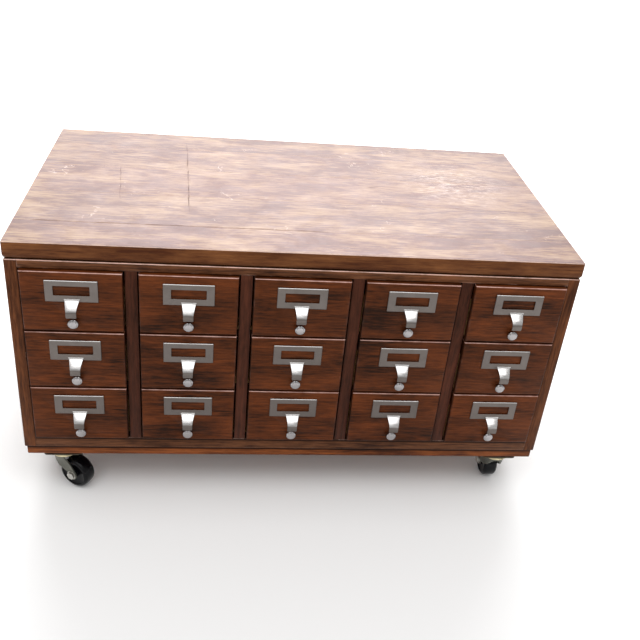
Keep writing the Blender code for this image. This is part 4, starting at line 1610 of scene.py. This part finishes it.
# %% Crown, king pin and fork together
CROWN_OUTLINE = (
    (0, -0.3), (4.1, -0.3), (4.5, -0.7), (4.5, -7.4), (22.4, -7.4), (23.2, -7.9), (23.5, -8.8),
    (23.3, -9.9), (22.6, -10.8), (21.5, -11.2), (6.8, -11.2), (6.2, -13.0), (4.2, -14.0), (0, -14.3),
)

crown = lathe("fork_crown", in_metres(CROWN_OUTLINE), "z", 40)
crown.data.materials.append(plate_finish)
skirt.data.materials.append(fork_finish)
fork_master = join("caster_fork", [crown, skirt])
smooth(fork_master, 34)
tell(fork_master)

# %% Axle bolt with its nut
BOLT_OUTLINE = (
    (0, -19.6), (2.6, -19.6), (3.2, -19.0), (3.2, -18.6), (3.6, -18.4), (4.0, -17.8), (4.0, 17.8),
    (0, 17.8),
)
NUT_OUTLINE = ((0, 0), (6.0, 0), (6.9, 0.7), (6.9, 3.1), (6.0, 3.7), (0, 3.7))
WASHER_OUTLINE = ((0, 0), (7.8, 0), (8.0, 0.2), (8.0, 0.7), (7.8, 0.9), (0, 0.9))
WASHER_THICKNESS = 0.0009


def on_axle(piece, finish, angle):
    """Moves round work from the origin to the wheel's axle and completes it."""
    piece.location = (TRAIL, 0, -AXLE_DROP)
    settle(piece)
    complete(piece, finish, angle)


parts = [lathe("bolt", in_metres(BOLT_OUTLINE), "y", 24)]
for side in (-1, 1):
    parts.append(lathe("washer", in_metres(WASHER_OUTLINE, LEG_OUTSIDE, side), "y", 32))
    nut_start = LEG_OUTSIDE + WASHER_THICKNESS
    parts.append(lathe("hexagon", in_metres(NUT_OUTLINE, nut_start, side), "y", 6))
bolt_master = join("axle_bolt", parts)
on_axle(bolt_master, bolt_finish, 28)

# %% Wheel
WHEEL_RADIUS = 0.028
TREAD_ROUND = 0.0055
TREAD_STEPS = 6
TREAD_FLAT = 0.0065
TREAD_DROP = 0.0004
# Half of the outline, from the bore out to the shoulder, and then the crown of the tread
HUB_OUTLINE = (
    (4.4, 11.8), (5.0, 12.5), (7.8, 12.6), (8.5, 12.0), (8.7, 9.8), (10.4, 9.2), (19.6, 9.5),
    (21.1, 10.3), (21.7, 11.6), (22.5, 12.0),
)
TREAD_CROWN = ((27.9, 3.3), (28.0, 1.0))

half = in_metres(HUB_OUTLINE)
shoulder = WHEEL_RADIUS - TREAD_ROUND - TREAD_DROP
for step in range(1, TREAD_STEPS + 1):
    angle = math.pi / 2 * step / TREAD_STEPS
    place = TREAD_FLAT + TREAD_ROUND * math.cos(angle)
    half.append((shoulder + TREAD_ROUND * math.sin(angle), place))
half += in_metres(TREAD_CROWN)
whole = half + [(radius, -place) for radius, place in reversed(half)] + half[:1]
wheel_master = lathe("caster_wheel", whole, "y", 56)
on_axle(wheel_master, wheel_finish, 34)

# %% Four casters in place
# Where each wheel points, in degrees from +X, as the casters stand in the photograph
TRAIL_ANGLES = {"front_left": -30, "front_right": 90, "rear_left": -65, "rear_right": -120}

for where, degrees in TRAIL_ANGLES.items():
    plate_low, plate_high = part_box(f"caster_plate_{where}")
    pin = Vector(((plate_low.x + plate_high.x) / 2, (plate_low.y + plate_high.y) / 2, plate_high.z))
    turn = math.radians(degrees)
    for master, short, body, angle, slot_name in (
        (plate_master, "plate", "root", 0, "plate_zinc"),
        (fork_master, "fork", f"caster_fork_{where}", turn, "fork_zinc"),
        (bolt_master, "bolt", f"caster_fork_{where}", turn, "fork_zinc"),
        (wheel_master, "wheel", f"caster_wheel_{where}", turn, "wheel_black"),
    ):
        piece = repeat(master, f"{short}_{where}", pin, angle)
        stands_for = "fork" if short == "bolt" else short
        assign(piece, body, f"caster_{stands_for}_{where}")
for master in (plate_master, fork_master, bolt_master, wheel_master):
    bpy.data.objects.remove(master)
print(len(TRAIL_ANGLES), "casters stand under the base board")

# %% [markdown]
# ## Floor
#
# The cabinet stands on a plain pale floor, so it casts a soft shadow and its metal has
# something light to mirror. No lamp reaches the far floor, which would look grey, so for the
# camera alone it glows more the farther away it is. A low white screen behind the cabinet
# lights its back edges; the camera doesn't see it.

# %% Floor and screen
# How far from the cabinet's middle the glow starts and is full
FLOOR_GLOW = (1.0, 2.4)
FLOOR_SIZE = 80
FLOOR_COLOUR = (0.94, 0.94, 0.94, 1)
FLOOR_ROUGHNESS = 0.9
WHITE = (1, 1, 1, 1)
SCREEN_PLACE = (0, 2.3, 0.4)
SCREEN_SIZE = 0.8
SCREEN_STRETCH = 14
SCREEN_STRENGTH = 0.8

bpy.ops.mesh.primitive_plane_add(size=FLOOR_SIZE)
floor = claim("floor")
floor_finish, tree, shader = new_finish("pale_floor")
away = vector_step(tree, "LENGTH", node(tree, "TexCoord").outputs["Object"])
seen = node(tree, "LightPath").outputs["Is Camera Ray"]
feed(tree, shader, {
    "Base Color": FLOOR_COLOUR, "Roughness": FLOOR_ROUGHNESS, "Emission Color": WHITE,
    "Emission Strength": times(tree, between(tree, away, *FLOOR_GLOW), seen),
})
floor.data.materials.append(floor_finish)

upright = (math.pi / 2, 0, 0)
bpy.ops.mesh.primitive_plane_add(size=SCREEN_SIZE, location=SCREEN_PLACE, rotation=upright)
screen = claim("screen", (SCREEN_STRETCH, 1, 1))
screen.visible_camera = False
screen_finish, tree, shader = new_finish("white_screen")
feed(tree, shader, {"Emission Color": WHITE, "Emission Strength": SCREEN_STRENGTH})
screen.data.materials.append(screen_finish)
print("floor and screen are ready")
